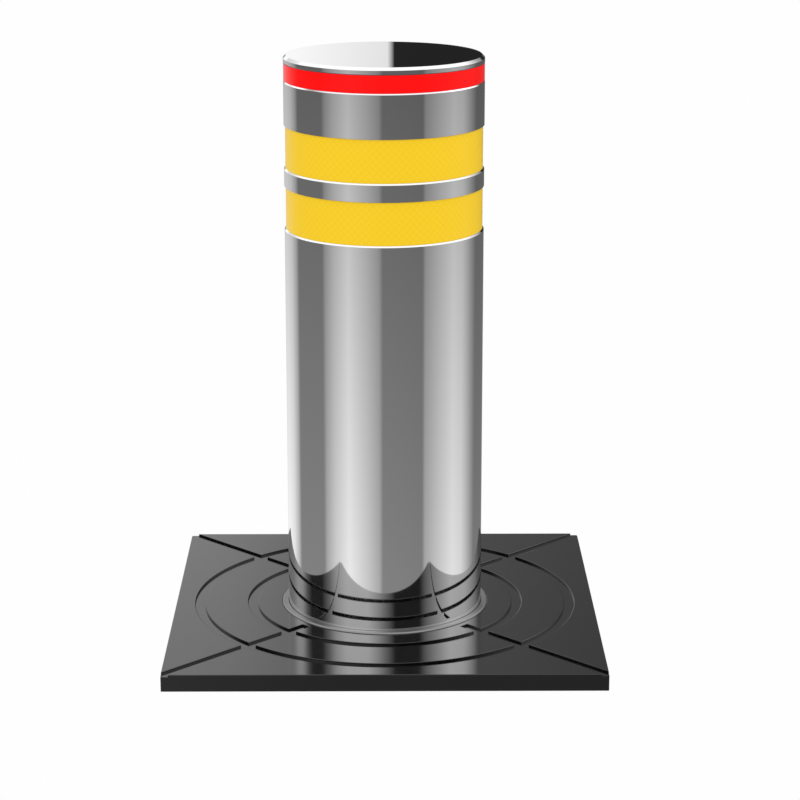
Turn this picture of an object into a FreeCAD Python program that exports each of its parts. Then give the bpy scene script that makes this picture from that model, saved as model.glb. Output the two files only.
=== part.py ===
import FreeCAD, Part
import math
import os
import re

import Sketcher

# Retractable bollard. A steel tube stands in a casing that is sunk in the ground, and a hydraulic ram on the
# casing's floor raises it through a square cover plate. Millimetres, +Z up. The origin is on the bollard's
# axis, in the underside of the cover plate, which is the finished ground level. The bollard is drawn raised.

SIZES = {
    # the part that stands above the ground
    "tube_od": (219.1, "bollard tube, outside diameter"),
    "tube_wall": (6, "bollard tube, wall"),
    "rise": (624, "raised cap above the cover plate's top face"),
    "cap_proud": (4, "lowered cap above the cover plate's top face"),
    "cap_thick": (7.4, "top cap, plate thickness"),
    "cap_bevel": (3, "top cap, edge bevel"),
    "lens_height": (18.9, "light ring lens, height"),
    "lens_inset": (0.2, "light ring lens, set back from the tube's face"),
    "gasket_thick": (0.6, "gasket between lens and cap"),
    "top_land": (48.6, "steel between the lens and the upper strip"),
    "strip_height": (47, "reflective strip, height"),
    "strip_gap": (20, "steel between the two strips"),
    "strip_recess": (2, "depth of the strip's recess in the tube"),
    "strip_thick": (0.5, "reflective strip, thickness"),
    "strip_slack": (0.5, "gap above a strip in its recess"),
    "ledge_bevel": (1.8, "bevel on the steel edges below lens and strips"),
    # inside the head
    "head_thick": (12, "head plate, thickness"),
    "head_drop": (8.1, "head plate's top below the tube's top"),
    "spigot_inset": (6.5, "cap spigot's outside, in from the tube's bore"),
    "spigot_wall": (5, "cap spigot, wall"),
    "board_thick": (1, "light strip board, thickness"),
    "board_inset": (1, "light strip board, shorter than the lens at each edge"),
    "led_count": (36, "light emitting diodes round the head"),
    "led_wide": (5, "diode, width round the board"),
    "led_tall": (5, "diode, height"),
    "led_deep": (1.6, "diode, depth"),
    "stud_circle": (75, "cap studs, radius of their circle"),
    "stud_count": (4, "cap studs"),
    "stud_radius": (5, "cap stud, M10"),
    "stud_flats": (17, "cap nut, across flats"),
    "stud_nut": (8, "cap nut, height"),
    "stud_tail": (4, "cap stud past its nut"),
    "bolt_gap": (0.5, "clearance round a screw in a plain hole"),
    "thread_gap": (0.05, "clearance of a threaded or pressed joint"),
    "weld_gap": (0.15, "fitting gap of a welded piece"),
    # foot of the moving tube
    "tube_tail": (185, "raised tube below ground level"),
    "collar_width": (18.45, "stop collar, beyond the tube"),
    "collar_thick": (20, "stop collar, height"),
    "stop_gap": (0.3, "collar below the upper stop when raised"),
    "shoe_count": (3, "guide shoes, and their rails and buffers"),
    "shoe_turn": (90, "direction of the first shoe, in degrees from +X"),
    "shoe_deep": (21, "guide shoe, radial depth"),
    "shoe_wide": (44, "guide shoe, width"),
    "shoe_screw": (3, "shoe screw, M6"),
    "shoe_screw_head": (5, "shoe screw, head radius"),
    "shoe_screw_sink": (6, "shoe screw, head height"),
    "shoe_screw_reach": (8, "shoe screw, thread in the collar"),
    "shoe_screw_side": (14, "shoe screw, beside the rail's centre"),
    # cover and guide
    "plate_thick": (19, "cover plate, thickness"),
    "plate_overhang": (27.5, "cover plate beyond the casing flange"),
    "plate_bevel": (0.8, "cover plate, bevel of its outside edges"),
    "plate_wall": (8, "cover plate over the guide flange"),
    "groove_wide": (12, "pattern groove, width"),
    "groove_deep": (3.4, "pattern groove, depth"),
    "outer_groove_inset": (26.8, "outer ring groove, in from the plate's side"),
    "groove_step": (60.1, "from the outer ring groove to the inner one"),
    "spoke_start": (14.5, "diagonal groove's start, beyond the tube"),
    "spoke_turn": (45, "direction of the first diagonal groove, in degrees from +X"),
    "seat_gap": (0.5, "clearance round a lift-off or dropped-in piece"),
    "slide_gap": (0.3, "clearance round the sliding tube"),
    "seal_width": (3.45, "wiper seal, beyond the tube"),
    "seal_base": (4, "wiper seal, base height"),
    "lip_width": (1.2, "wiper lip, outside beyond the tube"),
    "lip_height": (3.5, "wiper lip, height"),
    "trim_width": (7.45, "trim ring, beyond the tube"),
    "trim_inner": (1.45, "trim ring's bore, beyond the tube"),
    "trim_proud": (1.5, "trim ring above the plate"),
    "trim_bevel": (0.8, "trim ring, edge bevel"),
    "bush_width": (4.45, "guide bush's outside, beyond the tube"),
    "bush_height": (40, "guide bush, height"),
    "sleeve_wall": (6, "guide sleeve, wall"),
    "sleeve_lip": (8, "foot flange beyond the guide sleeve"),
    "rubber_thick": (10, "upper stop ring, height"),
    "rubber_inset": (2, "upper stop ring's bore, in from the sleeve's"),
    "carrier_land": (28, "guide flange, beyond the casing"),
    "guide_screw_count": (8, "guide flange screws"),
    "guide_screw": (4, "guide flange screw, M8"),
    "guide_screw_head": (8, "guide flange screw, countersunk head radius"),
    "guide_screw_inset": (14, "guide flange screws, in from its edge"),
    # casing
    "shoe_gap": (6.95, "between the shoes and the casing"),
    "casing_wall": (6, "casing tube, wall"),
    "flange_margin": (20, "casing flange beyond the guide flange"),
    "flange_thick": (10, "casing flange, thickness"),
    "flange_rise": (3, "casing flange's top above ground level"),
    "gusset_count": (4, "gussets under the casing flange"),
    "gusset_turn": (45, "direction of the first gusset, in degrees from +X"),
    "gusset_thick": (6, "gusset, thickness"),
    "gusset_deep": (40, "gusset, out from the casing"),
    "gusset_tall": (55, "gusset, height"),
    "pit_clearance": (155, "casing floor below the lowered tube"),
    "base_margin": (18, "base plate beyond the casing"),
    "base_thick": (10, "base plate, thickness"),
    "anchor_radius": (7, "anchor hole, radius"),
    "anchor_inset": (30, "anchor hole, in from the base plate's side"),
    "drain_radius": (30.15, "drain spigot, outside radius"),
    "drain_wall": (3.6, "drain spigot, wall"),
    "drain_reach": (80, "drain spigot beyond the casing"),
    "drain_rise": (35, "drain's centre above the casing floor"),
    "conduit_radius": (20, "conduit spigot, outside radius"),
    "conduit_wall": (2.5, "conduit spigot, wall"),
    "conduit_reach": (60, "conduit spigot beyond the casing"),
    "conduit_drop": (100, "conduit's centre below ground level"),
    "spigot_dip": (3, "spigot's end inside the casing's bore"),
    "root_step": (3, "thick root of a pipe spigot, beyond its free end's radius"),
    "root_reach": (10, "thick root of a pipe spigot, beyond the casing"),
    "rail_wide": (12, "guide rail, width"),
    "rail_deep": (15.8, "guide rail, radial depth"),
    "rail_gap": (0.3, "clearance of a shoe on its rail"),
    "rail_top": (150, "guide rail's top below ground level"),
    "rail_foot": (5, "guide rail's foot above the casing floor"),
    "post_turn": (30, "direction of the first buffer post, in degrees from +X"),
    "post_radius": (12, "buffer post, radius"),
    "pad_radius": (14, "buffer pad, radius"),
    "pad_height": (25, "buffer pad, height"),
    "pad_gap": (0.5, "lowered collar above the buffer pads"),
    # ram
    "rod_radius": (17.5, "ram rod, radius"),
    "rod_thread": (12, "ram rod's top thread, radius"),
    "rod_thread_long": (24, "ram rod's top thread beyond the head plate's underside"),
    "rod_nut_flats": (36, "ram rod nut, across flats"),
    "rod_nut_thick": (11, "ram rod nut, height"),
    "barrel_bore": (25, "ram barrel, bore radius"),
    "barrel_wall": (5, "ram barrel, wall"),
    "barrel_drop": (190, "ram barrel's top below ground level"),
    "barrel_seat": (20, "ram barrel's thread in the pump block"),
    "ram_gap": (0.05, "running clearance in the ram"),
    "gland_reach": (25, "gland inside the barrel"),
    "gland_head": (18, "gland head, height"),
    "gland_lip": (4, "gland head beyond the barrel"),
    "wiper_deep": (6, "rod wiper, height"),
    "wiper_wide": (3.5, "rod wiper, width"),
    "ram_spare": (6, "piston below the gland when raised"),
    "piston_tall": (40, "piston, height"),
    "piston_slack": (0.3, "piston's radial clearance, taken up by its rings"),
    "piston_stud": (10, "piston thread, radius"),
    "ring_deep": (3, "piston ring, radial depth"),
    "ring_tall": (6, "piston ring, height"),
    "ring_pitch": (16, "between the two piston rings"),
    "piston_nut_flats": (30, "piston nut, across flats"),
    "piston_nut_thick": (14, "piston nut, height"),
    # hydraulic unit
    "block_long": (184, "pump block, length"),
    "block_wide": (104, "pump block, width"),
    "block_tall": (45, "pump block, height"),
    "unit_gap": (4.55, "between the hydraulic unit and the tube's bore"),
    "can_radius": (30, "motor and tank, outside radius"),
    "can_gap": (4, "between the ram and the cans beside it"),
    "tank_wall": (3, "oil tank, wall"),
    "tank_drop": (230, "tank's top below the ram barrel's"),
    "lid_thick": (8, "tank lid, thickness"),
    "lid_spigot": (6, "tank lid, depth inside the tank"),
    "motor_long": (243, "motor housing, length"),
    "motor_wall": (2, "motor housing, wall"),
    "adapter_thick": (10, "motor adapter and end cap, thickness"),
    "bearing_radius": (13, "motor bearing, outside radius"),
    "bearing_wide": (9, "motor bearing, width"),
    "shaft_radius": (6, "motor shaft, radius"),
    "stator_bore": (20, "stator, bore radius"),
    "air_gap": (0.5, "between rotor and stator"),
    "winding_inset": (23, "stator's ends inside the motor housing"),
    "gear_module": (2, "pump gears, module"),
    "gear_teeth": (12, "pump gears, teeth"),
    "addendum": (0.9, "pump gears, tooth above the pitch circle, in modules"),
    "dedendum": (1.25, "pump gears, tooth below the pitch circle, in modules"),
    "pressure_angle": (20, "pump gears, pressure angle in degrees"),
    "gear_tall": (20, "pump chamber, depth"),
    "gear_gap": (0.2, "pump gears' end and tip clearance"),
    "backlash": (0.3, "pump gears, backlash"),
    "idler_radius": (5, "idler gear's journals, radius"),
    "journal_deep": (12, "shaft bores below the pump chamber"),
    "cover_thick": (12, "pump cover, thickness"),
    "cover_long": (52, "pump cover, length"),
    "cover_front": (46, "pump cover, in front of the motor's axis"),
    "cover_back": (34, "pump cover, behind the motor's axis"),
    "cover_screw": (2.5, "pump cover screw, M5"),
    "cover_screw_inset": (5, "pump cover screw, in from the cover's edges"),
    "block_screw": (4, "block screw, M8"),
    "block_screw_reach": (8, "block screw, thread in the base plate"),
    "block_screw_side": (78, "block screws, beside the ram's axis"),
    "block_screw_out": (44, "block screws, in front of and behind the ram's axis"),
    "block_screw_near": (20, "front screw that clears the pump cover, beside the ram's axis"),
    "valve_out": (40, "release valve behind the ram's axis"),
    "valve_radius": (7, "release valve, thread radius"),
    "valve_deep": (25, "release valve, thread depth"),
    "valve_flats": (17, "release valve, across flats"),
    "valve_head": (12, "release valve, hexagon height"),
    "stem_radius": (4, "release stem, radius"),
    "stem_lift": (10, "release knob above the valve's hexagon"),
    "knob_radius": (9, "release knob, radius"),
    "knob_tall": (14, "release knob, height"),
    "knob_grips": (6, "release knob, finger grooves"),
    "knob_grip": (2, "release knob, finger groove radius"),
    "head_ratio": (1.6, "socket screw, head radius to thread radius"),
    "socket_ratio": (0.8, "socket screw, socket radius to thread radius"),
    "pipe_radius": (3, "return pipe, radius"),
    "pipe_out": (46, "return pipe in front of the ram's axis"),
    "pipe_bend": (10, "return pipe, bend radius"),
    "pipe_seat": (5, "return pipe's depth in block and gland"),
    "clamp_thick": (12, "unit clamp, thickness"),
    "clamp_wide": (76, "unit clamp, width"),
    "clamp_rise": (235, "unit clamp above the pump block"),
}

# places worked out from the sizes: radii from the axis, heights from ground level
PLACES = {
    "tube_radius": "tube_od / 2",
    "tube_bore": "tube_radius - tube_wall",
    "stroke": "rise - cap_proud",
    "cap_foot": "plate_thick + rise - cap_thick",
    "lens_top": "cap_foot - gasket_thick",
    "tube_top": "lens_top - lens_height",
    "upper_strip": "tube_top - top_land - strip_height",
    "lower_strip": "upper_strip - strip_gap - strip_height",
    "recess_radius": "tube_radius - strip_recess",
    "lens_radius": "tube_radius - lens_inset",
    "head_top": "tube_top - head_drop",
    "head_foot": "head_top - head_thick",
    "spigot_radius": "tube_bore - spigot_inset",
    "collar_radius": "tube_radius + collar_width",
    "collar_foot": "-tube_tail",
    "collar_top": "-tube_tail + collar_thick - stop_gap",
    "shoe_radius": "collar_radius + shoe_deep",
    "casing_bore": "shoe_radius + shoe_gap",
    "casing_radius": "casing_bore + casing_wall",
    "carrier_radius": "casing_radius + carrier_land",
    "flange_side": "2 * (carrier_radius + flange_margin)",
    "plate_side": "flange_side + 2 * plate_overhang",
    "plate_recess": "plate_thick - plate_wall",
    "sleeve_bore": "tube_radius + bush_width",
    "sleeve_radius": "sleeve_bore + sleeve_wall",
    "sleeve_foot": "collar_top + stop_gap + rubber_thick",
    "guide_screw_circle": "carrier_radius - guide_screw_inset",
    "pit_floor": "-(tube_tail + stroke + pit_clearance)",
    "base_side": "2 * (casing_radius + base_margin)",
    "anchor_half": "base_side / 2 - anchor_inset",
    "pad_circle": "(tube_radius + collar_radius) / 2",
    "pad_top": "-tube_tail - stroke - pad_gap",
    "rail_back": "casing_bore - weld_gap",
    "rail_face": "rail_back - rail_deep",
    "barrel_radius": "barrel_bore + barrel_wall",
    "barrel_foot": "block_top - barrel_seat",
    "gland_foot": "-barrel_drop - gland_reach",
    "piston_foot": "gland_foot - ram_spare - piston_tall",
    "block_top": "pit_floor + block_tall",
    "unit_radius": "tube_bore - unit_gap",
    "unit_offset": "barrel_radius + can_gap + can_radius",
    "cover_top": "block_top + cover_thick",
    "motor_foot": "cover_top + adapter_thick",
    "pitch_radius": "gear_module * gear_teeth / 2",
    "tip_radius": "pitch_radius + addendum * gear_module",
    "outer_groove": "plate_side / 2 - outer_groove_inset",
    "lip_radius": "sleeve_radius + sleeve_lip",
}

document = FreeCAD.newDocument("RetractableBollard")
sheet = document.addObject("Spreadsheet::Sheet", "Sizes")
sub_parts = []


def fill_sheet():
    """Write each size to its own row: what it is, its value, and the alias that formulas use."""
    for row, (alias, (value, meaning)) in enumerate(SIZES.items(), start=1):
        sheet.set(f"A{row}", meaning)
        sheet.set(f"B{row}", str(value))
        sheet.setAlias(f"B{row}", alias)
    document.recompute()


def formula(text):
    """Spell out a text that names sizes and places as a formula on the sheet's cells."""

    def spell(match):
        word = match[0]
        if word in PLACES:
            return "(" + formula(PLACES[word]) + ")"
        return f"{sheet.Name}.{word}" if word in SIZES else word

    return re.sub(r"[a-z_]+", spell, text)


def number(text):
    """The value that a formula has now."""
    value = sheet.evalExpression(formula(text))
    return float(getattr(value, "Value", value))


def bind(thing, **settings):
    """Bind properties to formulas. A double underscore in a property's name stands for a dot."""
    for name, text in settings.items():
        thing.setExpression(name.replace("__", "."), formula(text))


def place(thing, at_x="0", at_y="0", at_z="0"):
    bind(thing, Placement__Base__x=at_x, Placement__Base__y=at_y, Placement__Base__z=at_z)


def keep(thing, name):
    """Name a finished sub-part and list it for export."""
    thing.Label = name
    sub_parts.append(thing)
    return thing


# ---- sketches and PartDesign features


def origin_feature(body, role):
    return next(item for item in body.Origin.OriginFeatures if item.Role == role)


def new_body(name):
    body = document.addObject("PartDesign::Body", name)
    body.AllowCompound = True
    return keep(body, name)


def new_sketch(body, role, at_x="0", height="0", turn=0):
    """A sketch on one of the body's own planes, shifted along its first axis and raised off the plane."""
    sketch = body.newObject("Sketcher::SketchObject", body.Name + "_sketch")
    sketch.AttachmentSupport = [(origin_feature(body, role), "")]
    sketch.MapMode = "FlatFace"
    sketch.AttachmentOffset = FreeCAD.Placement(
        FreeCAD.Vector(), FreeCAD.Rotation(FreeCAD.Vector(0, 0, 1), turn)
    )
    bind(sketch, AttachmentOffset__Base__x=at_x, AttachmentOffset__Base__z=height)
    return sketch


def hold(sketch, point, text, kind, axis):
    """Hold a point at a distance from the sketch's origin, or on the axis where the distance is 0."""
    geometry, end = point
    if text == "0":
        sketch.addConstraint(Sketcher.Constraint("PointOnObject", geometry, end, axis))
        return
    origin = (-1, 1)
    distance, ends = text, (*origin, *point)
    if number(text) < 0:
        distance, ends = f"-({text})", (*point, *origin)
    index = sketch.addConstraint(Sketcher.Constraint(kind, *ends, number(distance)))
    sketch.setExpression(f"Constraints[{index}]", formula(distance))


def draw_outline(sketch, corners):
    """Close straight lines through the corners, each corner held at its own distances."""
    points = [FreeCAD.Vector(number(x), number(y), 0) for x, y in corners]
    first = sketch.GeometryCount
    for start, end in zip(points, points[1:] + points[:1]):
        sketch.addGeometry(Part.LineSegment(start, end))
    for index in range(len(points)):
        following = first + (index + 1) % len(points)
        sketch.addConstraint(Sketcher.Constraint("Coincident", first + index, 2, following, 1))
    for index, (x, y) in enumerate(corners):
        hold(sketch, (first + index, 1), x, "DistanceX", -2)
        hold(sketch, (first + index, 1), y, "DistanceY", -1)


def draw_circle(sketch, radius, at_x="0", at_y="0"):
    centre = FreeCAD.Vector(number(at_x), number(at_y), 0)
    index = sketch.addGeometry(Part.Circle(centre, FreeCAD.Vector(0, 0, 1), number(radius)))
    hold(sketch, (index, 3), at_x, "DistanceX", -2)
    hold(sketch, (index, 3), at_y, "DistanceY", -1)
    rule = sketch.addConstraint(Sketcher.Constraint("Radius", index, number(radius)))
    sketch.setExpression(f"Constraints[{rule}]", formula(radius))


def draw_square(sketch, side):
    half = f"({side}) / 2"
    draw_outline(sketch, [(half, half), ("-" + half, half), ("-" + half, "-" + half), (half, "-" + half)])


def draw_hexagon(sketch, flats):
    side, corner, shoulder = f"{flats} / 2", f"{flats} / sqrt(3)", f"{flats} / sqrt(12)"
    draw_outline(
        sketch,
        [
            (side, shoulder),
            ("0", corner),
            ("-" + side, shoulder),
            ("-" + side, "-" + shoulder),
            ("0", "-" + corner),
            (side, "-" + shoulder),
        ],
    )


def revolve(body, corners, at_x="0"):
    """Turn a closed outline of (radius, height) corners about an upright axis at at_x."""
    sketch = new_sketch(body, "XZ_Plane", at_x)
    draw_outline(sketch, corners)
    turn = body.newObject("PartDesign::Revolution", body.Name + "_turn")
    turn.Profile = sketch
    turn.ReferenceAxis = (sketch, ["V_Axis"])
    turn.Angle = 360
    return turn


def pad(body, draw, height):
    sketch = new_sketch(body, "XY_Plane")
    draw(sketch)
    feature = body.newObject("PartDesign::Pad", body.Name + "_pad")
    feature.Profile = sketch
    bind(feature, Length=height)
    return feature


def pocket(body, draw, top, depth, at_x="0", turn=0):
    """Cut downwards from the height top, and make sure that material went."""
    document.recompute()
    before = body.Shape.Volume
    sketch = new_sketch(body, "XY_Plane", at_x, top, turn)
    draw(sketch)
    feature = body.newObject("PartDesign::Pocket", body.Name + "_pocket")
    feature.Profile = sketch
    bind(feature, Length=depth)
    document.recompute()
    if body.Shape.Volume > before - 1e-3:
        raise RuntimeError(f"{feature.Label} cut nothing from {body.Label}")
    return feature


def repeat_round(body, features, count):
    """Repeat features evenly round the body's own upright axis."""
    pattern = body.newObject("PartDesign::PolarPattern", body.Name + "_round")
    pattern.Originals = features
    pattern.Axis = (origin_feature(body, "Z_Axis"), [""])
    pattern.Angle = 360
    bind(pattern, Occurrences=count)
    body.Tip = pattern
    return pattern


def turned(name, corners, foot="0", at_x="0", at_y="0"):
    """A sub-part turned about its own upright axis. Corners are (radius, height above its foot)."""
    body = new_body(name)
    revolve(body, corners)
    place(body, at_x, at_y, foot)
    return body


def ring(name, inner, outer, height, foot="0", at_x="0", at_y="0"):
    corners = [(inner, "0"), (outer, "0"), (outer, height), (inner, height)]
    return turned(name, corners, foot, at_x, at_y)


def drill_round(body, radius, circle, top, depth, count):
    """A ring of plain holes."""
    hole = pocket(body, lambda sketch: draw_circle(sketch, radius), top, depth, circle)
    return repeat_round(body, [hole], count)


# ---- Part primitives and booleans


def cylinder(radius, height, at_x="0", at_y="0", at_z="0", lean=None):
    """An upright cylinder, or one turned from upright to the direction lean."""
    thing = document.addObject("Part::Cylinder", "Cylinder")
    if lean:
        thing.Placement.Rotation = FreeCAD.Rotation(FreeCAD.Vector(0, 0, 1), FreeCAD.Vector(*lean))
    bind(thing, Radius=radius, Height=height)
    place(thing, at_x, at_y, at_z)
    return thing


def block(length, width, height, at_x="0", at_y="0", at_z="0"):
    thing = document.addObject("Part::Box", "Box")
    bind(thing, Length=length, Width=width, Height=height)
    place(thing, at_x, at_y, at_z)
    return thing


def joined(kind, *things):
    """One boolean of several things: MultiFuse or MultiCommon, or a Compound that keeps them apart."""
    result = document.addObject("Part::" + kind, kind)
    members = "Links" if kind == "Compound" else "Shapes"
    setattr(result, members, list(things))
    return result


def less(base, *tools):
    """The base with the tools cut away."""
    cut = document.addObject("Part::Cut", "Cut")
    cut.Base = base
    cut.Tool = tools[0] if len(tools) == 1 else joined("MultiFuse", *tools)
    return cut


def round_places(circle, count, start):
    """Formulas for x and y of places spread evenly on a circle from a direction in degrees."""
    for index in range(count):
        angle = start + 360 * index / count
        yield f"({circle}) * cos({angle} deg)", f"({circle}) * sin({angle} deg)"


# ---- moving part: tube, strips and light ring


def make_bollard_tube():
    """A tube with two shallow turned recesses for the strips. The steel edges below them are bevelled."""
    outline = [("tube_bore", "0"), ("tube_radius", "0")]
    for strip in ("lower_strip", "upper_strip"):
        foot = f"{strip} + tube_tail"
        outline += [
            ("tube_radius", f"{foot} - ledge_bevel"),
            ("tube_radius - ledge_bevel", foot),
            ("recess_radius", foot),
            ("recess_radius", f"{foot} + strip_height"),
            ("tube_radius", f"{foot} + strip_height"),
        ]
    outline += [
        ("tube_radius", "tube_top + tube_tail - ledge_bevel"),
        ("tube_radius - ledge_bevel", "tube_top + tube_tail"),
        ("tube_bore", "tube_top + tube_tail"),
    ]
    turned("bollard_tube", outline, "-tube_tail")


def make_reflective_strips():
    for strip in ("upper", "lower"):
        outer, height = "recess_radius + strip_thick", "strip_height - strip_slack"
        ring(f"reflective_strip_{strip}", "recess_radius", outer, height, f"{strip}_strip")


def make_light_ring():
    """Lens, gasket and the board that wraps the cap's spigot with its diodes."""
    ring("light_ring_lens", "tube_bore", "lens_radius", "lens_height", "tube_top")
    ring("lens_gasket", "tube_bore", "lens_radius", "gasket_thick", "lens_top")
    board = "spigot_radius + board_thick"
    board_foot = "tube_top + board_inset"
    ring("light_board", "spigot_radius", board, "lens_height - 2 * board_inset", board_foot)
    diodes = new_body("light_diodes")
    sketch = new_sketch(diodes, "XY_Plane", board)
    half = "led_wide / 2"
    draw_outline(sketch, [("0", half), ("led_deep", half), ("led_deep", "-" + half), ("0", "-" + half)])
    chip = diodes.newObject("PartDesign::Pad", "diode")
    chip.Profile = sketch
    bind(chip, Length="led_tall")
    repeat_round(diodes, [chip], "led_count")
    place(diodes, at_z="tube_top + lens_height / 2 - led_tall / 2")


def make_top_cap():
    """A bevelled disc with a spigot ring that stands on the head plate inside the lens."""
    under, top = "cap_foot - head_top", "cap_foot - head_top + cap_thick"
    inner = "spigot_radius - spigot_wall"
    outline = [
        ("0", under),
        (inner, under),
        (inner, "0"),
        ("spigot_radius", "0"),
        ("spigot_radius", under),
        ("tube_radius", under),
        ("tube_radius", f"{top} - cap_bevel"),
        ("tube_radius - cap_bevel", top),
        ("0", top),
    ]
    turned("top_cap", outline, "head_top")


def make_head_plate():
    """Welded in the tube. The ram's thread passes its middle and the cap's studs pass near its edge."""
    body = ring("head_plate", "rod_thread + thread_gap", "tube_bore - weld_gap", "head_thick", "head_foot")
    drill_round(body, "stud_radius + bolt_gap", "stud_circle", "head_thick", "head_thick", "stud_count")


def make_cap_fixings():
    studs = new_body("cap_studs")
    reach = "cap_foot - head_foot + stud_nut + stud_tail"
    outline = [("0", "0"), ("stud_radius", "0"), ("stud_radius", reach), ("0", reach)]
    repeat_round(studs, [revolve(studs, outline, "stud_circle")], "stud_count")
    place(studs, at_z="head_foot - stud_nut - stud_tail")
    hexagon_ring("cap_nuts", "stud_flats", "stud_radius", "stud_nut", "head_foot - stud_nut", "stud_circle")


def hexagon_ring(name, flats, thread, thick, foot, circle):
    """Hexagon nuts spread on a circle, one for each cap stud."""
    nuts = new_body(name)
    sketch = new_sketch(nuts, "XY_Plane", circle)
    draw_hexagon(sketch, flats)
    draw_circle(sketch, f"{thread} + thread_gap")
    nut = nuts.newObject("PartDesign::Pad", "nut")
    nut.Profile = sketch
    bind(nut, Length=thick)
    repeat_round(nuts, [nut], "stud_count")
    place(nuts, at_z=foot)


def hexagon_nut(name, flats, thread, thick, foot, at_x="0", at_y="0"):
    """One hexagon nut or threaded hexagon on an upright axis."""
    body = new_body(name)

    def draw(sketch):
        draw_hexagon(sketch, flats)
        draw_circle(sketch, thread)

    pad(body, draw, thick)
    place(body, at_x, at_y, foot)
    return body


# ---- moving part: foot of the tube


def shoe_directions():
    """Direction of each shoe and its rail, in degrees."""
    count = int(number("shoe_count"))
    return [number("shoe_turn") + 360 * index / count for index in range(count)]


def shoe_screw_places():
    """Direction of each shoe and the side offset of each of its two screws."""
    for direction in shoe_directions():
        for side in (-1, 1):
            yield direction, side * number("shoe_screw_side")


def radial_pin(radius, start, end, angle, side):
    """A cylinder that lies along a radius of the casing, beside it by side."""
    turn = FreeCAD.Rotation(FreeCAD.Vector(0, 0, 1), angle)
    base = turn.multVec(FreeCAD.Vector(start, side, number("collar_foot + collar_top") / 2))
    return Part.makeCylinder(radius, end - start, base, turn.multVec(FreeCAD.Vector(1, 0, 0)))


def feature(name, shape):
    """A sub-part whose shape is worked out in code from the sheet's values."""
    thing = document.addObject("Part::Feature", name)
    thing.Shape = shape
    return keep(thing, name)


def make_stop_collar():
    """A heavy ring welded round the tube's foot, tapped for the shoe screws."""
    height = number("collar_top - collar_foot")
    foot = FreeCAD.Vector(0, 0, number("collar_foot"))
    body = Part.makeCylinder(number("collar_radius"), height, foot)
    bore = Part.makeCylinder(number("tube_radius + thread_gap"), height, foot)
    reach = number("collar_radius - shoe_screw_reach - seat_gap")
    thread = number("shoe_screw + thread_gap")
    end = number("shoe_radius")
    holes = [radial_pin(thread, reach, end, angle, side) for angle, side in shoe_screw_places()]
    feature("stop_collar", body.cut([bore, *holes]))


def make_guide_shoes():
    """Nylon blocks on the collar that slide on the casing's rails and keep the tube from turning."""
    height = number("collar_top - collar_foot")
    wide, slot = number("shoe_wide"), number("rail_wide + 2 * rail_gap")
    outer, face = number("shoe_radius"), number("rail_face - rail_gap")
    foot = FreeCAD.Vector(0, 0, number("collar_foot"))
    seat = Part.makeCylinder(number("collar_radius + thread_gap"), height, foot)
    for index, angle in enumerate(shoe_directions(), start=1):
        shoe = Part.makeBox(outer, wide, height, foot - FreeCAD.Vector(0, wide / 2, 0))
        rail = Part.makeBox(outer, slot, height, foot + FreeCAD.Vector(face, -slot / 2, 0))
        shoe = shoe.cut([seat, rail])
        shoe.rotate(FreeCAD.Vector(), FreeCAD.Vector(0, 0, 1), angle)
        sink = outer - number("shoe_screw_sink")
        cuts = []
        for turn, side in shoe_screw_places():
            if turn == angle:
                cuts.append(radial_pin(number("shoe_screw + bolt_gap"), 0, outer, turn, side))
                cuts.append(radial_pin(number("shoe_screw_head + bolt_gap"), sink, outer + 1, turn, side))
        feature(f"guide_shoe_{index}", shoe.cut(cuts))


def make_shoe_screws():
    """Socket screws, their heads sunk in the shoes and their threads in the collar."""
    start = number("collar_radius - shoe_screw_reach")
    neck = number("shoe_radius - shoe_screw_sink")
    end = neck + number("shoe_screw_sink - bolt_gap")
    socket = number("shoe_screw_head / 2")
    screws = []
    for angle, side in shoe_screw_places():
        shank = radial_pin(number("shoe_screw"), start, neck, angle, side)
        head = radial_pin(number("shoe_screw_head"), neck, end, angle, side)
        recess = radial_pin(socket, (neck + end) / 2, end, angle, side)
        screws.append(shank.fuse(head).cut(recess).removeSplitter())
    feature("shoe_screws", Part.makeCompound(screws))


# ---- cover and guide


def make_cover_plate():
    """A thick square plate, patterned on top. Its underside drops over the casing flange."""
    body = new_body("cover_plate")
    slab = pad(body, lambda sketch: draw_square(sketch, "plate_side"), "plate_thick")
    document.recompute()
    edges = [f"Edge{index}" for index in range(1, len(slab.Shape.Edges) + 1)]
    bevel = body.newObject("PartDesign::Chamfer", "plate_bevel_edge")
    bevel.Base = (slab, edges)
    bind(bevel, Size="plate_bevel")
    top = "plate_thick"
    opening = "tube_radius + seal_width"
    drop = "flange_side + 2 * seat_gap"
    pocket(body, lambda sketch: draw_square(sketch, drop), "flange_rise", "flange_rise")
    recess = "carrier_radius + seat_gap"
    pocket(body, lambda sketch: draw_circle(sketch, recess), "plate_recess", "plate_recess")
    pocket(body, lambda sketch: draw_circle(sketch, opening), top, top)
    pocket(body, lambda sketch: draw_circle(sketch, "tube_radius + trim_width"), top, "seal_base")
    for centre in ("outer_groove", "outer_groove - groove_step"):
        pocket(body, lambda sketch: draw_ring(sketch, centre, "groove_wide"), top, "groove_deep")
    spoke = pocket(body, draw_spoke, top, "groove_deep", turn=number("spoke_turn"))
    repeat_round(body, [spoke], "4")


def draw_ring(sketch, centre, width):
    draw_circle(sketch, f"{centre} - {width} / 2")
    draw_circle(sketch, f"{centre} + {width} / 2")


def draw_spoke(sketch):
    """A straight groove from beside the tube out past the plate's corner."""
    start, end = "tube_radius + spoke_start", "plate_side / sqrt(2) + groove_wide"
    half = "groove_wide / 2"
    draw_outline(sketch, [(start, half), (end, half), (end, "-" + half), (start, "-" + half)])


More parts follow.
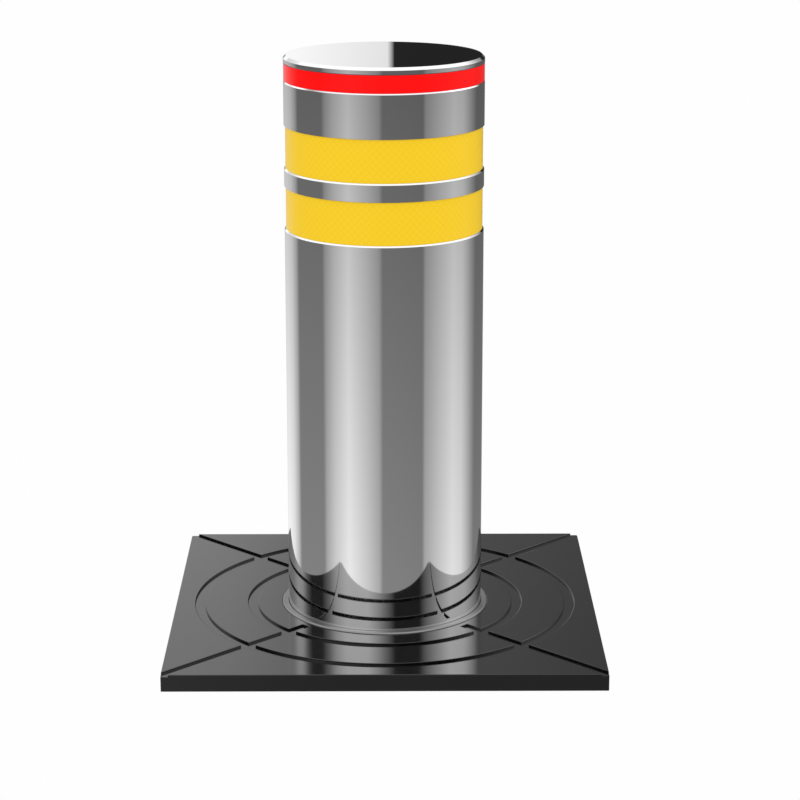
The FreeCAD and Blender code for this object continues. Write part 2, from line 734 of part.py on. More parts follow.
def make_seal_and_trim():
    """The wiper lies on the guide bush with its lip on the tube. The trim ring holds it down."""
    wiper = "tube_radius + slide_gap"
    lip = "tube_radius + lip_width"
    base = "tube_radius + seal_width - thread_gap"
    lip_top = "seal_base + lip_height"
    outline = [
        (wiper, "0"),
        (base, "0"),
        (base, "seal_base"),
        (lip, "seal_base"),
        (lip, lip_top),
        (wiper, lip_top),
    ]
    turned("wiper_seal", outline, "plate_recess")
    inner, outer = "tube_radius + trim_inner", "tube_radius + trim_width - thread_gap"
    top = "seal_base + trim_proud"
    outline = [
        (inner, "0"),
        (outer, "0"),
        (outer, f"{top} - trim_bevel"),
        (f"{outer} - trim_bevel", top),
        (inner, top),
    ]
    turned("trim_ring", outline, "plate_thick - seal_base")


def make_guide_carrier():
    """A flange on the casing with a long sleeve below it, which holds both guide bushes."""
    body = new_body("guide_carrier")
    flange_foot = "flange_rise - sleeve_foot"
    top = "plate_recess - sleeve_foot"
    outline = [
        ("sleeve_bore", "0"),
        ("lip_radius", "0"),
        ("lip_radius", "sleeve_lip"),
        ("sleeve_radius", "sleeve_lip"),
        ("sleeve_radius", flange_foot),
        ("carrier_radius", flange_foot),
        ("carrier_radius", top),
        ("sleeve_bore", top),
    ]
    revolve(body, outline)
    document.recompute()
    narrow, wide = "guide_screw + bolt_gap", "guide_screw_head + bolt_gap"
    sink = f"{top} - (guide_screw_head - guide_screw)"
    depth = "plate_recess - flange_rise"
    hole = pocket(body, lambda sketch: draw_circle(sketch, narrow), top, depth, "guide_screw_circle")
    sketch = new_sketch(body, "XZ_Plane", "guide_screw_circle")
    draw_outline(sketch, [("0", top), (wide, top), (narrow, sink), ("0", sink)])
    countersink = body.newObject("PartDesign::Groove", "countersink")
    countersink.Profile = sketch
    countersink.ReferenceAxis = (sketch, ["V_Axis"])
    countersink.Angle = 360
    repeat_round(body, [hole, countersink], "guide_screw_count")
    place(body, at_z="sleeve_foot")


def make_guide_screws():
    """Countersunk screws from the guide flange into the casing flange."""
    screws = new_body("guide_carrier_screws")
    top = "plate_recess - flange_rise + flange_thick"
    sink = "guide_screw_head - guide_screw"
    outline = [
        ("0", "0"),
        ("guide_screw", "0"),
        ("guide_screw", f"{top} - ({sink})"),
        ("guide_screw_head", top),
        ("guide_screw", top),
        ("guide_screw / 2", f"{top} - guide_screw / 2"),
        ("0", f"{top} - guide_screw / 2"),
    ]
    repeat_round(screws, [revolve(screws, outline, "guide_screw_circle")], "guide_screw_count")
    place(screws, at_z="flange_rise - flange_thick")


def make_bushes_and_stop():
    inner, outer = "tube_radius + slide_gap", "sleeve_bore - thread_gap"
    ring("guide_bush_upper", inner, outer, "bush_height", "plate_recess - bush_height")
    ring("guide_bush_lower", inner, outer, "bush_height", "sleeve_foot")
    bore, foot = "sleeve_bore - rubber_inset", "sleeve_foot - rubber_thick"
    ring("upper_stop_ring", bore, "lip_radius", "rubber_thick", foot)


# ---- casing


def make_casing_flange():
    body = new_body("casing_flange")
    pad(body, lambda sketch: draw_square(sketch, "flange_side"), "flange_thick")
    pocket(body, lambda sketch: draw_circle(sketch, "casing_bore"), "flange_thick", "flange_thick")
    thread = "guide_screw + thread_gap"
    drill_round(body, thread, "guide_screw_circle", "flange_thick", "flange_thick", "guide_screw_count")
    place(body, at_z="flange_rise - flange_thick")


def spigots():
    """Name, height and way along X of each pipe spigot in the casing's wall."""
    return ("drain", "pit_floor + drain_rise", 1), ("conduit", "-conduit_drop", -1)


def make_casing_tube():
    """A plain tube with a hole for each spigot."""
    height = "flange_rise - flange_thick - (pit_floor)"
    shell = cylinder("casing_radius", height, at_z="pit_floor")
    bore = cylinder("casing_bore", height, at_z="pit_floor")
    holes = [
        cylinder(f"{name}_radius + root_step + weld_gap", "casing_radius", at_z=height, lean=(way, 0, 0))
        for name, height, way in spigots()
    ]
    keep(less(shell, bore, *holes), "casing_tube")


def make_spigots():
    """Short pipes for the drain and the supply conduit. A thick root is welded in the casing's wall."""
    for name, height, way in spigots():

        def pipe(radius, reach):
            start = f"{way} * (casing_bore - spigot_dip)"
            length = f"casing_wall + spigot_dip + {reach}"
            return cylinder(radius, length, start, at_z=height, lean=(way, 0, 0))

        free_end = pipe(f"{name}_radius", f"{name}_reach")
        root = pipe(f"{name}_radius + root_step", "root_reach")
        bore = pipe(f"{name}_radius - {name}_wall", f"{name}_reach")
        keep(less(joined("MultiFuse", free_end, root), bore), f"{name}_spigot")


def make_gussets():
    """Triangles under the casing flange, welded to the tube and the flange."""
    shapes = []
    foot = number("flange_rise - flange_thick")
    inner = number("casing_radius + weld_gap")
    thick = number("gusset_thick")
    corners = [
        FreeCAD.Vector(inner, -thick / 2, foot),
        FreeCAD.Vector(inner + number("gusset_deep"), -thick / 2, foot),
        FreeCAD.Vector(inner, -thick / 2, foot - number("gusset_tall")),
    ]
    count = int(number("gusset_count"))
    for index in range(count):
        triangle = Part.Face(Part.makePolygon([*corners, corners[0]]))
        gusset = triangle.extrude(FreeCAD.Vector(0, thick, 0))
        turn = number("gusset_turn") + 360 * index / count
        gusset.rotate(FreeCAD.Vector(), FreeCAD.Vector(0, 0, 1), turn)
        shapes.append(gusset)
    feature("casing_gussets", Part.makeCompound(shapes))


def make_base_plate():
    """The casing's floor, with an anchor hole in each corner and threads for the pump block."""
    body = new_body("casing_base_plate")
    pad(body, lambda sketch: draw_square(sketch, "base_side"), "base_thick")
    halves = ("anchor_half", "-anchor_half")
    holes = [("anchor_radius", x, y, "base_thick") for x in halves for y in halves]
    holes += [("block_screw + thread_gap", x, y, "block_screw_reach") for x, y in block_screw_places()]
    for radius, x, y, depth in holes:
        pocket(body, lambda sketch: draw_circle(sketch, radius, x, y), "base_thick", depth)
    place(body, at_z="pit_floor - base_thick")


def make_rails():
    """Flat bars welded up the casing's inside, one for each shoe."""
    foot = "pit_floor + rail_foot"
    rails = []
    for angle in shoe_directions():
        rail = block("rail_deep", "rail_wide", f"-rail_top - ({foot})", "rail_face", "-rail_wide / 2", foot)
        spread = joined("Compound", rail)
        spread.Placement.Rotation = FreeCAD.Rotation(FreeCAD.Vector(0, 0, 1), angle)
        rails.append(spread)
    keep(joined("Compound", *rails), "guide_rails")


def make_buffers():
    """Posts with rubber pads, between the rails, that the collar comes down on."""
    places = list(round_places("pad_circle", int(number("shoe_count")), number("post_turn")))
    post = "pad_top - pad_height - (pit_floor)"
    posts = [cylinder("post_radius", post, x, y, "pit_floor") for x, y in places]
    pads = [cylinder("pad_radius", "pad_height", x, y, "pad_top - pad_height") for x, y in places]
    keep(joined("Compound", *posts), "buffer_posts")
    keep(joined("Compound", *pads), "buffer_pads")


# ---- ram


def make_ram_rod():
    """A polished rod, shouldered for the piston below and the head plate above."""
    foot = "piston_foot - piston_nut_thick"
    shoulder = "piston_nut_thick + piston_tall"
    neck = f"head_foot - ({foot})"
    top = f"{neck} + rod_thread_long"
    outline = [
        ("0", "0"),
        ("piston_stud", "0"),
        ("piston_stud", shoulder),
        ("rod_radius", shoulder),
        ("rod_radius", neck),
        ("rod_thread", neck),
        ("rod_thread", top),
        ("0", top),
    ]
    turned("ram_rod", outline, foot)
    hexagon_nut("rod_nut", "rod_nut_flats", "rod_thread + thread_gap", "rod_nut_thick", "head_top")


def make_piston():
    """The piston, its two rings in their grooves, and the nut that holds it."""
    wall = "barrel_bore - piston_slack"
    groove = "barrel_bore - ring_deep"
    outline = [("piston_stud + thread_gap", "0"), (wall, "0")]
    first = "(piston_tall - ring_pitch - ring_tall) / 2"
    for foot in (first, f"{first} + ring_pitch"):
        outline += [
            (wall, foot),
            (groove, foot),
            (groove, f"{foot} + ring_tall"),
            (wall, f"{foot} + ring_tall"),
        ]
    outline += [(wall, "piston_tall"), ("piston_stud + thread_gap", "piston_tall")]
    turned("piston", outline, "piston_foot")
    rings = new_body("piston_rings")
    inner, outer = "barrel_bore - ring_deep + thread_gap", "barrel_bore - ram_gap"
    for foot in (first, f"{first} + ring_pitch"):
        top = f"{foot} + ring_tall"
        revolve(rings, [(inner, foot), (outer, foot), (outer, top), (inner, top)])
    place(rings, at_z="piston_foot")
    nut_foot = "piston_foot - piston_nut_thick"
    hexagon_nut("piston_nut", "piston_nut_flats", "piston_stud + thread_gap", "piston_nut_thick", nut_foot)


def make_barrel():
    ring("ram_barrel", "barrel_bore", "barrel_radius", "-barrel_drop - (barrel_foot)", "barrel_foot")


def make_gland():
    """Guides the rod at the barrel's top. Its head takes the rod wiper and the return pipe."""
    body = new_body("ram_gland")
    bore = "rod_radius + ram_gap"
    head = "barrel_radius + gland_lip"
    top = "gland_reach + gland_head"
    seat = f"{top} - wiper_deep"
    wiper = "rod_radius + wiper_wide"
    outline = [
        (bore, "0"),
        ("barrel_bore - ram_gap", "0"),
        ("barrel_bore - ram_gap", "gland_reach"),
        (head, "gland_reach"),
        (head, top),
        (wiper, top),
        (wiper, seat),
        (bore, seat),
    ]
    revolve(body, outline)
    document.recompute()
    sketch = new_sketch(body, "XZ_Plane", height=head)
    draw_circle(sketch, "pipe_radius + thread_gap", "0", "gland_reach + (gland_head - wiper_deep) / 2")
    port = body.newObject("PartDesign::Pocket", "pipe_port")
    port.Profile = sketch
    bind(port, Length="pipe_seat")
    before = body.Shape.Volume
    document.recompute()
    if body.Shape.Volume > before - 1e-3:
        raise RuntimeError("the gland's port cut nothing")
    place(body, at_z="gland_foot")
    wiper_foot = "-barrel_drop + gland_head - wiper_deep"
    ring("rod_wiper", bore, f"{wiper} - thread_gap", "wiper_deep", wiper_foot)


def make_return_pipe():
    """From the block straight up beside the barrel, then one bend into the gland."""
    port = number("-barrel_drop + (gland_head - wiper_deep) / 2")
    out, bend = number("pipe_out"), number("pipe_bend")
    foot = number("block_top - pipe_seat")
    inner = number("barrel_radius + gland_lip - pipe_seat")
    inside = bend * (1 - math.sqrt(0.5))
    start = FreeCAD.Vector(0, -out, foot)
    low = FreeCAD.Vector(0, -out, port - bend)
    middle = FreeCAD.Vector(0, -out + inside, port - inside)
    high = FreeCAD.Vector(0, -out + bend, port)
    end = FreeCAD.Vector(0, -inner, port)
    turn = Part.Arc(low, middle, high).toShape()
    path = Part.Wire([Part.makeLine(start, low), turn, Part.makeLine(high, end)])
    section = Part.Wire([Part.makeCircle(number("pipe_radius"), start)])
    feature("return_pipe", path.makePipeShell([section], True))


# ---- hydraulic unit


def block_screw_places():
    """Screws that hold the pump block down, clear of the motor, the tank and the pump cover."""
    side, out = "block_screw_side", "block_screw_out"
    return ((side, out), ("-" + side, out), ("-" + side, "-" + out), ("block_screw_near", "-" + out))


def make_pump_block():
    """A bored manifold block on the casing floor. Ram, pump, tank and release valve stand on it."""
    slab = block("block_long", "block_wide", "block_tall", "-block_long / 2", "-block_wide / 2", "pit_floor")
    limit = cylinder("unit_radius", "block_tall", at_z="pit_floor")
    top = "block_top"
    chamber = f"{top} - gear_tall"
    journal = "journal_deep + gear_tall"
    second = "-2 * pitch_radius"
    tools = [
        cylinder("barrel_radius + thread_gap", "barrel_seat", at_z="barrel_foot"),
        cylinder("tip_radius + gear_gap", "gear_tall", "unit_offset", "0", chamber),
        cylinder("tip_radius + gear_gap", "gear_tall", "unit_offset", second, chamber),
        cylinder("shaft_radius + ram_gap", journal, "unit_offset", "0", f"{top} - ({journal})"),
        cylinder("idler_radius + ram_gap", journal, "unit_offset", second, f"{top} - ({journal})"),
        cylinder("valve_radius + thread_gap", "valve_deep", "0", "valve_out", f"{top} - valve_deep"),
        cylinder("pipe_radius + thread_gap", "pipe_seat", "0", "-pipe_out", f"{top} - pipe_seat"),
    ]
    for x, y in block_screw_places():
        tools.append(cylinder("block_screw + bolt_gap", "block_tall", x, y, "pit_floor"))
    keep(less(joined("MultiCommon", slab, limit), *tools), "pump_block")


def cover_screw_places():
    out = "(cover_long / 2 - cover_screw_inset)"
    for x in (f"unit_offset - {out}", f"unit_offset + {out}"):
        for y in ("-(cover_front - cover_screw_inset)", "cover_back - cover_screw_inset"):
            yield x, y


def make_pump_cover():
    """Closes the gear chamber and carries the motor."""
    wide = "cover_front + cover_back"
    near = "unit_offset - cover_long / 2"
    slab = block("cover_long", wide, "cover_thick", near, "-cover_front", "block_top")
    limit = cylinder("unit_radius", "cover_thick", at_z="block_top")
    tools = [
        cylinder("shaft_radius + ram_gap", "cover_thick", "unit_offset", "0", "block_top"),
        cylinder("idler_radius + ram_gap", "cover_thick", "unit_offset", "-2 * pitch_radius", "block_top"),
    ]
    for x, y in cover_screw_places():
        tools.append(cylinder("cover_screw + bolt_gap", "cover_thick", x, y, "block_top"))
    keep(less(joined("MultiCommon", slab, limit), *tools), "pump_cover")


def socket_screw(thread, length, x, y, seat):
    """A socket head screw that hangs its thread below the height of its seat."""
    shank = cylinder(thread, f"{length} + {thread}", x, y, f"{seat} - ({length})")
    head = cylinder(f"head_ratio * {thread}", f"2 * {thread}", x, y, seat)
    recess = cylinder(f"socket_ratio * {thread}", thread, x, y, f"{seat} + {thread}")
    return less(joined("MultiFuse", shank, head), recess)


def make_unit_screws():
    places = block_screw_places()
    long = "block_tall + block_screw_reach"
    screws = [socket_screw("block_screw", long, x, y, "block_top") for x, y in places]
    keep(joined("Compound", *screws), "block_screws")
    screws = [socket_screw("cover_screw", "cover_thick", x, y, "cover_top") for x, y in cover_screw_places()]
    keep(joined("Compound", *screws), "pump_cover_screws")


def make_motor():
    """Adapter, housing, wound stator and end cap, with a bearing at each end of the shaft."""
    axis = "unit_offset"
    seat = "bearing_radius + thread_gap"
    ring("motor_adapter", seat, "can_radius", "adapter_thick", "cover_top", axis)
    ring("motor_housing", "can_radius - motor_wall", "can_radius", "motor_long", "motor_foot", axis)
    stator = "can_radius - motor_wall - thread_gap"
    winding = "motor_long - 2 * winding_inset"
    ring("motor_stator", "stator_bore", stator, winding, "motor_foot + winding_inset", axis)
    cap_foot = "motor_foot + motor_long"
    closed = "adapter_thick - bearing_wide"
    outline = [
        ("0", "bearing_wide"),
        (seat, "bearing_wide"),
        (seat, "0"),
        ("can_radius", "0"),
        ("can_radius", f"bearing_wide + {closed} + adapter_thick / 2"),
        ("0", f"bearing_wide + {closed} + adapter_thick / 2"),
    ]
    turned("motor_end_cap", outline, cap_foot, axis)
    bearings = new_body("motor_bearings")
    inner = "shaft_radius + ram_gap"
    for foot in ("0", f"{cap_foot} - (cover_top)"):
        top = f"{foot} + bearing_wide"
        revolve(bearings, [(inner, foot), ("bearing_radius", foot), ("bearing_radius", top), (inner, top)])
    place(bearings, axis, at_z="cover_top")


def make_motor_shaft():
    """One shaft from the end bearing down through the drive gear, and the rotor pressed on it."""
    foot = "block_top - gear_tall - journal_deep + gear_gap"
    height = f"motor_foot + motor_long + bearing_wide - gear_gap - ({foot})"
    outline = [("0", "0"), ("shaft_radius", "0"), ("shaft_radius", height), ("0", height)]
    turned("motor_shaft", outline, foot, "unit_offset")
    bore, outer = "shaft_radius + thread_gap / 2", "stator_bore - air_gap"
    winding = "motor_long - 2 * winding_inset"
    ring("motor_rotor", bore, outer, winding, "motor_foot + winding_inset", "unit_offset")


def involute_point(base_radius, radius, start, side):
    """A point of the involute of a base circle, at a radius, for a flank that starts at an angle."""
    roll = math.sqrt(max((radius / base_radius) ** 2 - 1, 0))
    angle = start + side * (roll - math.atan(roll))
    return FreeCAD.Vector(radius * math.cos(angle), radius * math.sin(angle), 0)


def gear_shape(first_tooth):
    """An involute spur gear with a tooth centred at the angle first_tooth, in degrees."""
    teeth = int(number("gear_teeth"))
    pitch, tip = number("pitch_radius"), number("tip_radius")
    pressure = math.radians(number("pressure_angle"))
    base = pitch * math.cos(pressure)
    root = number("pitch_radius - dedendum * gear_module")
    lean = math.tan(pressure) - pressure
    half = math.pi / 2 / teeth - number("backlash") / 4 / pitch + lean
    edges = []
    for index in range(teeth):
        centre = math.radians(first_tooth) + 2 * math.pi * index / teeth
        flanks = []
        for side in (1, -1):
            start = centre - side * half
            radii = [base + (tip - base) * step / 4 for step in range(5)]
            flanks.append([involute_point(base, radius, start, side) for radius in radii])
        foot_1, foot_2 = (flank[0] * (root / base) for flank in flanks)
        rise, fall = Part.BSplineCurve(), Part.BSplineCurve()
        rise.interpolate(flanks[0])
        fall.interpolate(flanks[1][::-1])
        crown = FreeCAD.Vector(tip * math.cos(centre), tip * math.sin(centre), 0)
        gap = centre + math.pi / teeth
        valley = FreeCAD.Vector(root * math.cos(gap), root * math.sin(gap), 0)
        next_foot = FreeCAD.Rotation(FreeCAD.Vector(0, 0, 1), 360 / teeth).multVec(foot_1)
        edges += [
            Part.makeLine(foot_1, flanks[0][0]),
            rise.toShape(),
            Part.Arc(flanks[0][-1], crown, flanks[1][-1]).toShape(),
            fall.toShape(),
            Part.makeLine(flanks[1][0], foot_2),
            Part.Arc(foot_2, valley, next_foot).toShape(),
        ]
    outline = Part.Wire(Part.__sortEdges__(edges))
    return Part.Face(outline).extrude(FreeCAD.Vector(0, 0, number("gear_tall - 2 * gear_gap")))


def make_pump_gears():
    """Two equal gears in mesh: one fixed on the motor shaft, one on its own journals."""
    foot = number("block_top - gear_tall + gear_gap")
    pitch_deg = 360 / number("gear_teeth")
    bore = Part.makeCylinder(number("shaft_radius + thread_gap / 2"), number("gear_tall"))
    drive = feature("drive_gear", gear_shape(0).cut(bore))
    drive.Placement.Base = FreeCAD.Vector(number("unit_offset"), 0, foot)
    start = -number("journal_deep")
    length = number("gear_tall + journal_deep + cover_thick - 3 * gear_gap")
    journal = Part.makeCylinder(number("idler_radius"), length, FreeCAD.Vector(0, 0, start))
    driven = feature("driven_gear", gear_shape(pitch_deg / 2).fuse(journal).removeSplitter())
    driven.Placement.Base = FreeCAD.Vector(number("unit_offset"), -2 * number("pitch_radius"), foot)


def make_tank():
    """A closed pot beside the ram, with a lid pressed in its top."""
    inner = "can_radius - tank_wall"
    height = "-barrel_drop - tank_drop - (block_top)"
    outline = [
        ("0", "0"),
        ("can_radius", "0"),
        ("can_radius", height),
        (inner, height),
        (inner, "tank_wall"),
        ("0", "tank_wall"),
    ]
    turned("oil_tank", outline, "block_top", "-unit_offset")
    plug = f"{inner} - thread_gap"
    top = "lid_spigot + lid_thick"
    outline = [
        ("0", "0"),
        (plug, "0"),
        (plug, "lid_spigot"),
        ("can_radius", "lid_spigot"),
        ("can_radius", top),
        ("0", top),
    ]
    turned("tank_lid", outline, "-barrel_drop - tank_drop - lid_spigot", "-unit_offset")


def make_release_valve():
    """A hexagon cartridge screwed in the block, and the stem and knob that open it by hand."""
    thread = cylinder("valve_radius", "valve_deep", "0", "valve_out", "block_top - valve_deep")
    bore_long = "valve_deep + valve_head"
    bore = cylinder("stem_radius + ram_gap", bore_long, "0", "valve_out", "block_top - valve_deep")
    nut = document.addObject("Part::Prism", "Hexagon")
    nut.Polygon = 6
    bind(nut, Circumradius="valve_flats / sqrt(3)", Height="valve_head")
    place(nut, "0", "valve_out", "block_top")
    keep(less(joined("MultiFuse", thread, nut), bore), "release_valve_cartridge")
    reach = "valve_deep + valve_head + stem_lift - gear_gap"
    outline = [
        ("0", "0"),
        ("stem_radius", "0"),
        ("stem_radius", reach),
        ("knob_radius", reach),
        ("knob_radius", f"{reach} + knob_tall"),
        ("0", f"{reach} + knob_tall"),
    ]
    body = turned("release_knob", outline, "block_top - valve_deep + gear_gap", "0", "valve_out")
    document.recompute()
    knob_top = f"{reach} + knob_tall"
    drill_round(body, "knob_grip", "knob_radius", knob_top, "knob_tall", "knob_grips")


def make_unit_clamp():
    """A plate that ties motor, ram and tank together, bored for all three."""
    rise = "block_top + clamp_rise"
    slab = block("2 * unit_radius", "clamp_wide", "clamp_thick", "-unit_radius", "-clamp_wide / 2", rise)
    limit = cylinder("unit_radius", "clamp_thick", at_z=rise)
    bores = [cylinder("barrel_radius + thread_gap", "clamp_thick", at_z=rise)]
    for x in ("unit_offset", "-unit_offset"):
        bores.append(cylinder("can_radius + thread_gap", "clamp_thick", x, "0", rise))
    keep(less(joined("MultiCommon", slab, limit), *bores), "unit_clamp")


def build():
    fill_sheet()
    for make in (
        make_bollard_tube,
        make_reflective_strips,
        make_light_ring,
        make_top_cap,
        make_head_plate,
        make_cap_fixings,
        make_stop_collar,
        make_guide_shoes,
        make_shoe_screws,
        make_cover_plate,
        make_seal_and_trim,
        make_guide_carrier,
        make_guide_screws,
        make_bushes_and_stop,
        make_casing_flange,
        make_casing_tube,
        make_spigots,
        make_gussets,
        make_base_plate,
        make_rails,
        make_buffers,
        make_ram_rod,
        make_piston,
        make_barrel,
        make_gland,
        make_return_pipe,
        make_pump_block,
        make_pump_cover,
        make_unit_screws,
        make_motor,
        make_motor_shaft,
        make_pump_gears,
        make_tank,
        make_release_valve,
        make_unit_clamp,
    ):
        make()
    document.recompute()


def check():
    """Stop on any object that failed or any sub-part without a sound shape."""
    for item in document.Objects:
        if {"Invalid", "Error"} & set(item.State):
            raise RuntimeError(f"{item.Label} is {item.State}")
    for item in sub_parts:
        if item.Shape.isNull() or not item.Shape.isValid() or not item.Shape.Solids:
            raise RuntimeError(f"{item.Label} has no sound shape")


def export():
    os.makedirs("parts", exist_ok=True)
    for item in sub_parts:
        item.Shape.exportStep(f"parts/{item.Label}.step")
    print(len(sub_parts), "sub-parts")


build()
check()
export()
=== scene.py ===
from math import cos, pi, radians, sin, sqrt, tan

import bmesh
import bpy
from mathutils import Matrix, Vector


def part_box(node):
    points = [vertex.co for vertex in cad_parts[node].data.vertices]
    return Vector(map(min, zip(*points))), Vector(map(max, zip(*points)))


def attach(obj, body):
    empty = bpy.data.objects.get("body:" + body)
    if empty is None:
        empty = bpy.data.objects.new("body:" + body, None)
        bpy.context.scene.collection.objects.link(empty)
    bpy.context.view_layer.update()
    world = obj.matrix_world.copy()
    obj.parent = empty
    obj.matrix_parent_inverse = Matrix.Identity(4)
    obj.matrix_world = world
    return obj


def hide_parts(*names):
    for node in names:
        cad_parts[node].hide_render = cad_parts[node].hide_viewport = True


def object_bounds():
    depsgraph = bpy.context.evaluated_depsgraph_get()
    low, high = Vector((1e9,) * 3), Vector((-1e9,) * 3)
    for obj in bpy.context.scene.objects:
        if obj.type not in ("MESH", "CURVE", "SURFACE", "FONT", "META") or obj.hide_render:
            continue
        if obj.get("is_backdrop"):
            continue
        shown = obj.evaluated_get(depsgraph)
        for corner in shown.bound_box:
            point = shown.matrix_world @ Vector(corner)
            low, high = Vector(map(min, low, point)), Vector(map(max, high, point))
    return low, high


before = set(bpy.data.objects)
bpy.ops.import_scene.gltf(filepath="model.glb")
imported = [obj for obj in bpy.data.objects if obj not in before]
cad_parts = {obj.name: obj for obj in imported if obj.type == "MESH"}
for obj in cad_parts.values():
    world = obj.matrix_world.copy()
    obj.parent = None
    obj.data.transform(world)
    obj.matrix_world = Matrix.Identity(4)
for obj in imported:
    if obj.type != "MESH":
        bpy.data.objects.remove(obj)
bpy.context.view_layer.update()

# ---- View and studio
# The bollard stands on white paving in a white studio. Tall soft panels stand round it, which polished
# steel and gloss paint mirror as upright bands. Matt surfaces get the same light from all sides.


def add(tree, kind, inputs=None, **settings):
    """Add a node with its settings. An input takes a value or a link from another node's output."""
    node = tree.nodes.new(kind)
    for name, value in settings.items():
        setattr(node, name, value)
    for socket, value in (inputs or {}).items():
        if isinstance(value, bpy.types.NodeSocket):
            tree.links.new(value, node.inputs[socket])
        else:
            node.inputs[socket].default_value = value
    return node


def linear(code):
    """A colour written as sRGB hex, as linear red, green, blue and alpha."""
    levels = [int(code[place : place + 2], 16) / 255 for place in (1, 3, 5)]
    return [level / 12.92 if level <= 0.04045 else ((level + 0.055) / 1.055) ** 2.4 for level in levels] + [1]


# A long lens looks down at the bollard from the front, and a third of a degree to its right.
look_down = radians(15.25)
look_right = radians(0.36)
camera = bpy.data.objects.new("camera", bpy.data.cameras.new("camera"))
camera.data.lens = 114.75
camera.location = (0, -2.7605, 1.0076)
camera.rotation_euler = (pi / 2 - look_down, 0, -look_right)
bpy.context.scene.collection.objects.link(camera)
bpy.context.scene.camera = camera
bpy.context.scene.view_settings.view_transform = "Standard"

# Brightness of the panels by direction, in degrees round the bollard: 0 in front, 90 to its right, -90 to
# its left. Each row is for one height above the horizon, in degrees.
panels = {
    -18: {
        -165: 1.0, -150: 1.06, -135: 0.95, -123: 0.6, -117: 0.27, -76: 0.27, -72: 0.47, -60: 0.74,
        -42: 1.02, -20: 0.71, -6: 0.48, -2: 0.27, 45: 0.25, 48: 0.46, 65: 0.68, 87: 0.93, 102: 0.84,
        120: 0.44, 131: 0.23, 165: 0.21,
    },
    8: {
        -178.2: 1.06, -150: 1.3, -135: 1.1, -119: 0.3, -116: 0.12, -77: 0.12, -73: 0.6, -60: 1.0,
        -42: 1.3, -20: 0.9, -6: 0.6, -2: 0.12, 45: 0.1, 49: 0.6, 65: 0.9, 87: 1.2, 102: 1.1,
        120: 0.5, 134: 0.1, 150: 0.1, 158: 0.78, 179.9: 0.8, -179.5: 0.92, -178.7: 0.98,
    },
    19: {
        -176: 1.0, -155: 0.8, -140: 1.0, -126: 1.7, -116: 1.6, -106: 0.5, -98: 0.08, -80: 0.08,
        -69: 0.75, -60: 1.7, -46: 2.5, -20: 2.5, -8: 1.6, 0: 0.9, 12: 0.06, 42: 0.06, 50: 0.65, 60: 1.2,
        85: 2.6, 110: 2.3, 128: 1.4, 150: 0.4, 174: 0.22, 179.9: 0.4, -179.5: 0.5, -178: 0.7,
    },
}
world = bpy.data.worlds.new("studio")
bpy.context.scene.world = world
world.use_nodes = True
world.cycles.sampling_method = "NONE"
tree = world.node_tree
tree.nodes.clear()
way = add(tree, "ShaderNodeSeparateXYZ", {0: add(tree, "ShaderNodeTexCoord").outputs["Generated"]})
toward = add(tree, "ShaderNodeMath", {0: way.outputs["Y"], 1: -1.0}, operation="MULTIPLY")
round_it = add(tree, "ShaderNodeMath", {0: way.outputs["X"], 1: toward.outputs[0]}, operation="ARCTAN2")

# Each row is cut open at one direction, where it is dark and even, and runs once round from there.
seam = -95
from_seam = {0: round_it.outputs[0], 1: 1 / (2 * pi), 2: -seam / 360}
turns = add(tree, "ShaderNodeMath", from_seam, operation="MULTIPLY_ADD")
once_round = add(tree, "ShaderNodeMath", {0: turns.outputs[0]}, operation="FRACT")
rise = add(tree, "ShaderNodeMath", {0: way.outputs["Z"]}, operation="ARCSINE")
height = add(tree, "ShaderNodeMath", {0: rise.outputs[0], 1: 180 / pi}, operation="MULTIPLY")
brightest = 3.0


def row_of_panels(levels):
    """The light of one row of panels, from its brightness at each direction."""
    ramp = add(tree, "ShaderNodeValToRGB", {"Fac": once_round.outputs[0]})
    elements = ramp.color_ramp.elements
    places = sorted(((direction - seam) / 360 % 1, level) for direction, level in levels.items())
    elements[0].position, elements[1].position = 0, 1
    elements[0].color = elements[1].color = [places[0][1] / brightest] * 3 + [1]
    for position, level in places:
        elements.new(position).color = [level / brightest] * 3 + [1]
    return ramp.outputs["Color"]


def stacked(under, above, low, high):
    """The light of one row that blends into the row above it between two heights."""
    span = {"Value": height.outputs[0], "From Min": low, "From Max": high}
    blend = add(tree, "ShaderNodeMapRange", span, interpolation_type="SMOOTHSTEP")
    rows = {0: blend.outputs["Result"], 6: under, 7: above}
    return add(tree, "ShaderNodeMix", rows, data_type="RGBA").outputs[2]


low_row, middle_row, high_row = (row_of_panels(panels[level]) for level in panels)

# A black screen stands behind the bollard to the right. Its sharp edge is straight behind it.
screen_dark = 0.023
round_in_degrees = {0: once_round.outputs[0], 1: 360.0, 2: seam}
direction = add(tree, "ShaderNodeMath", round_in_degrees, operation="MULTIPLY_ADD").outputs[0]
edges = []
for start, end, first, last in ((150, 155, 1, screen_dark), (179.77, 179.92, screen_dark, 1)):
    edge = {"Value": direction, "From Min": start, "From Max": end, "To Min": first, "To Max": last}
    edges.append(add(tree, "ShaderNodeMapRange", edge).outputs["Result"])
screen = add(tree, "ShaderNodeMath", {0: edges[0], 1: edges[1]}, operation="MAXIMUM")
screened = add(tree, "ShaderNodeVectorMath", {0: middle_row, 3: screen.outputs[0]}, operation="SCALE")

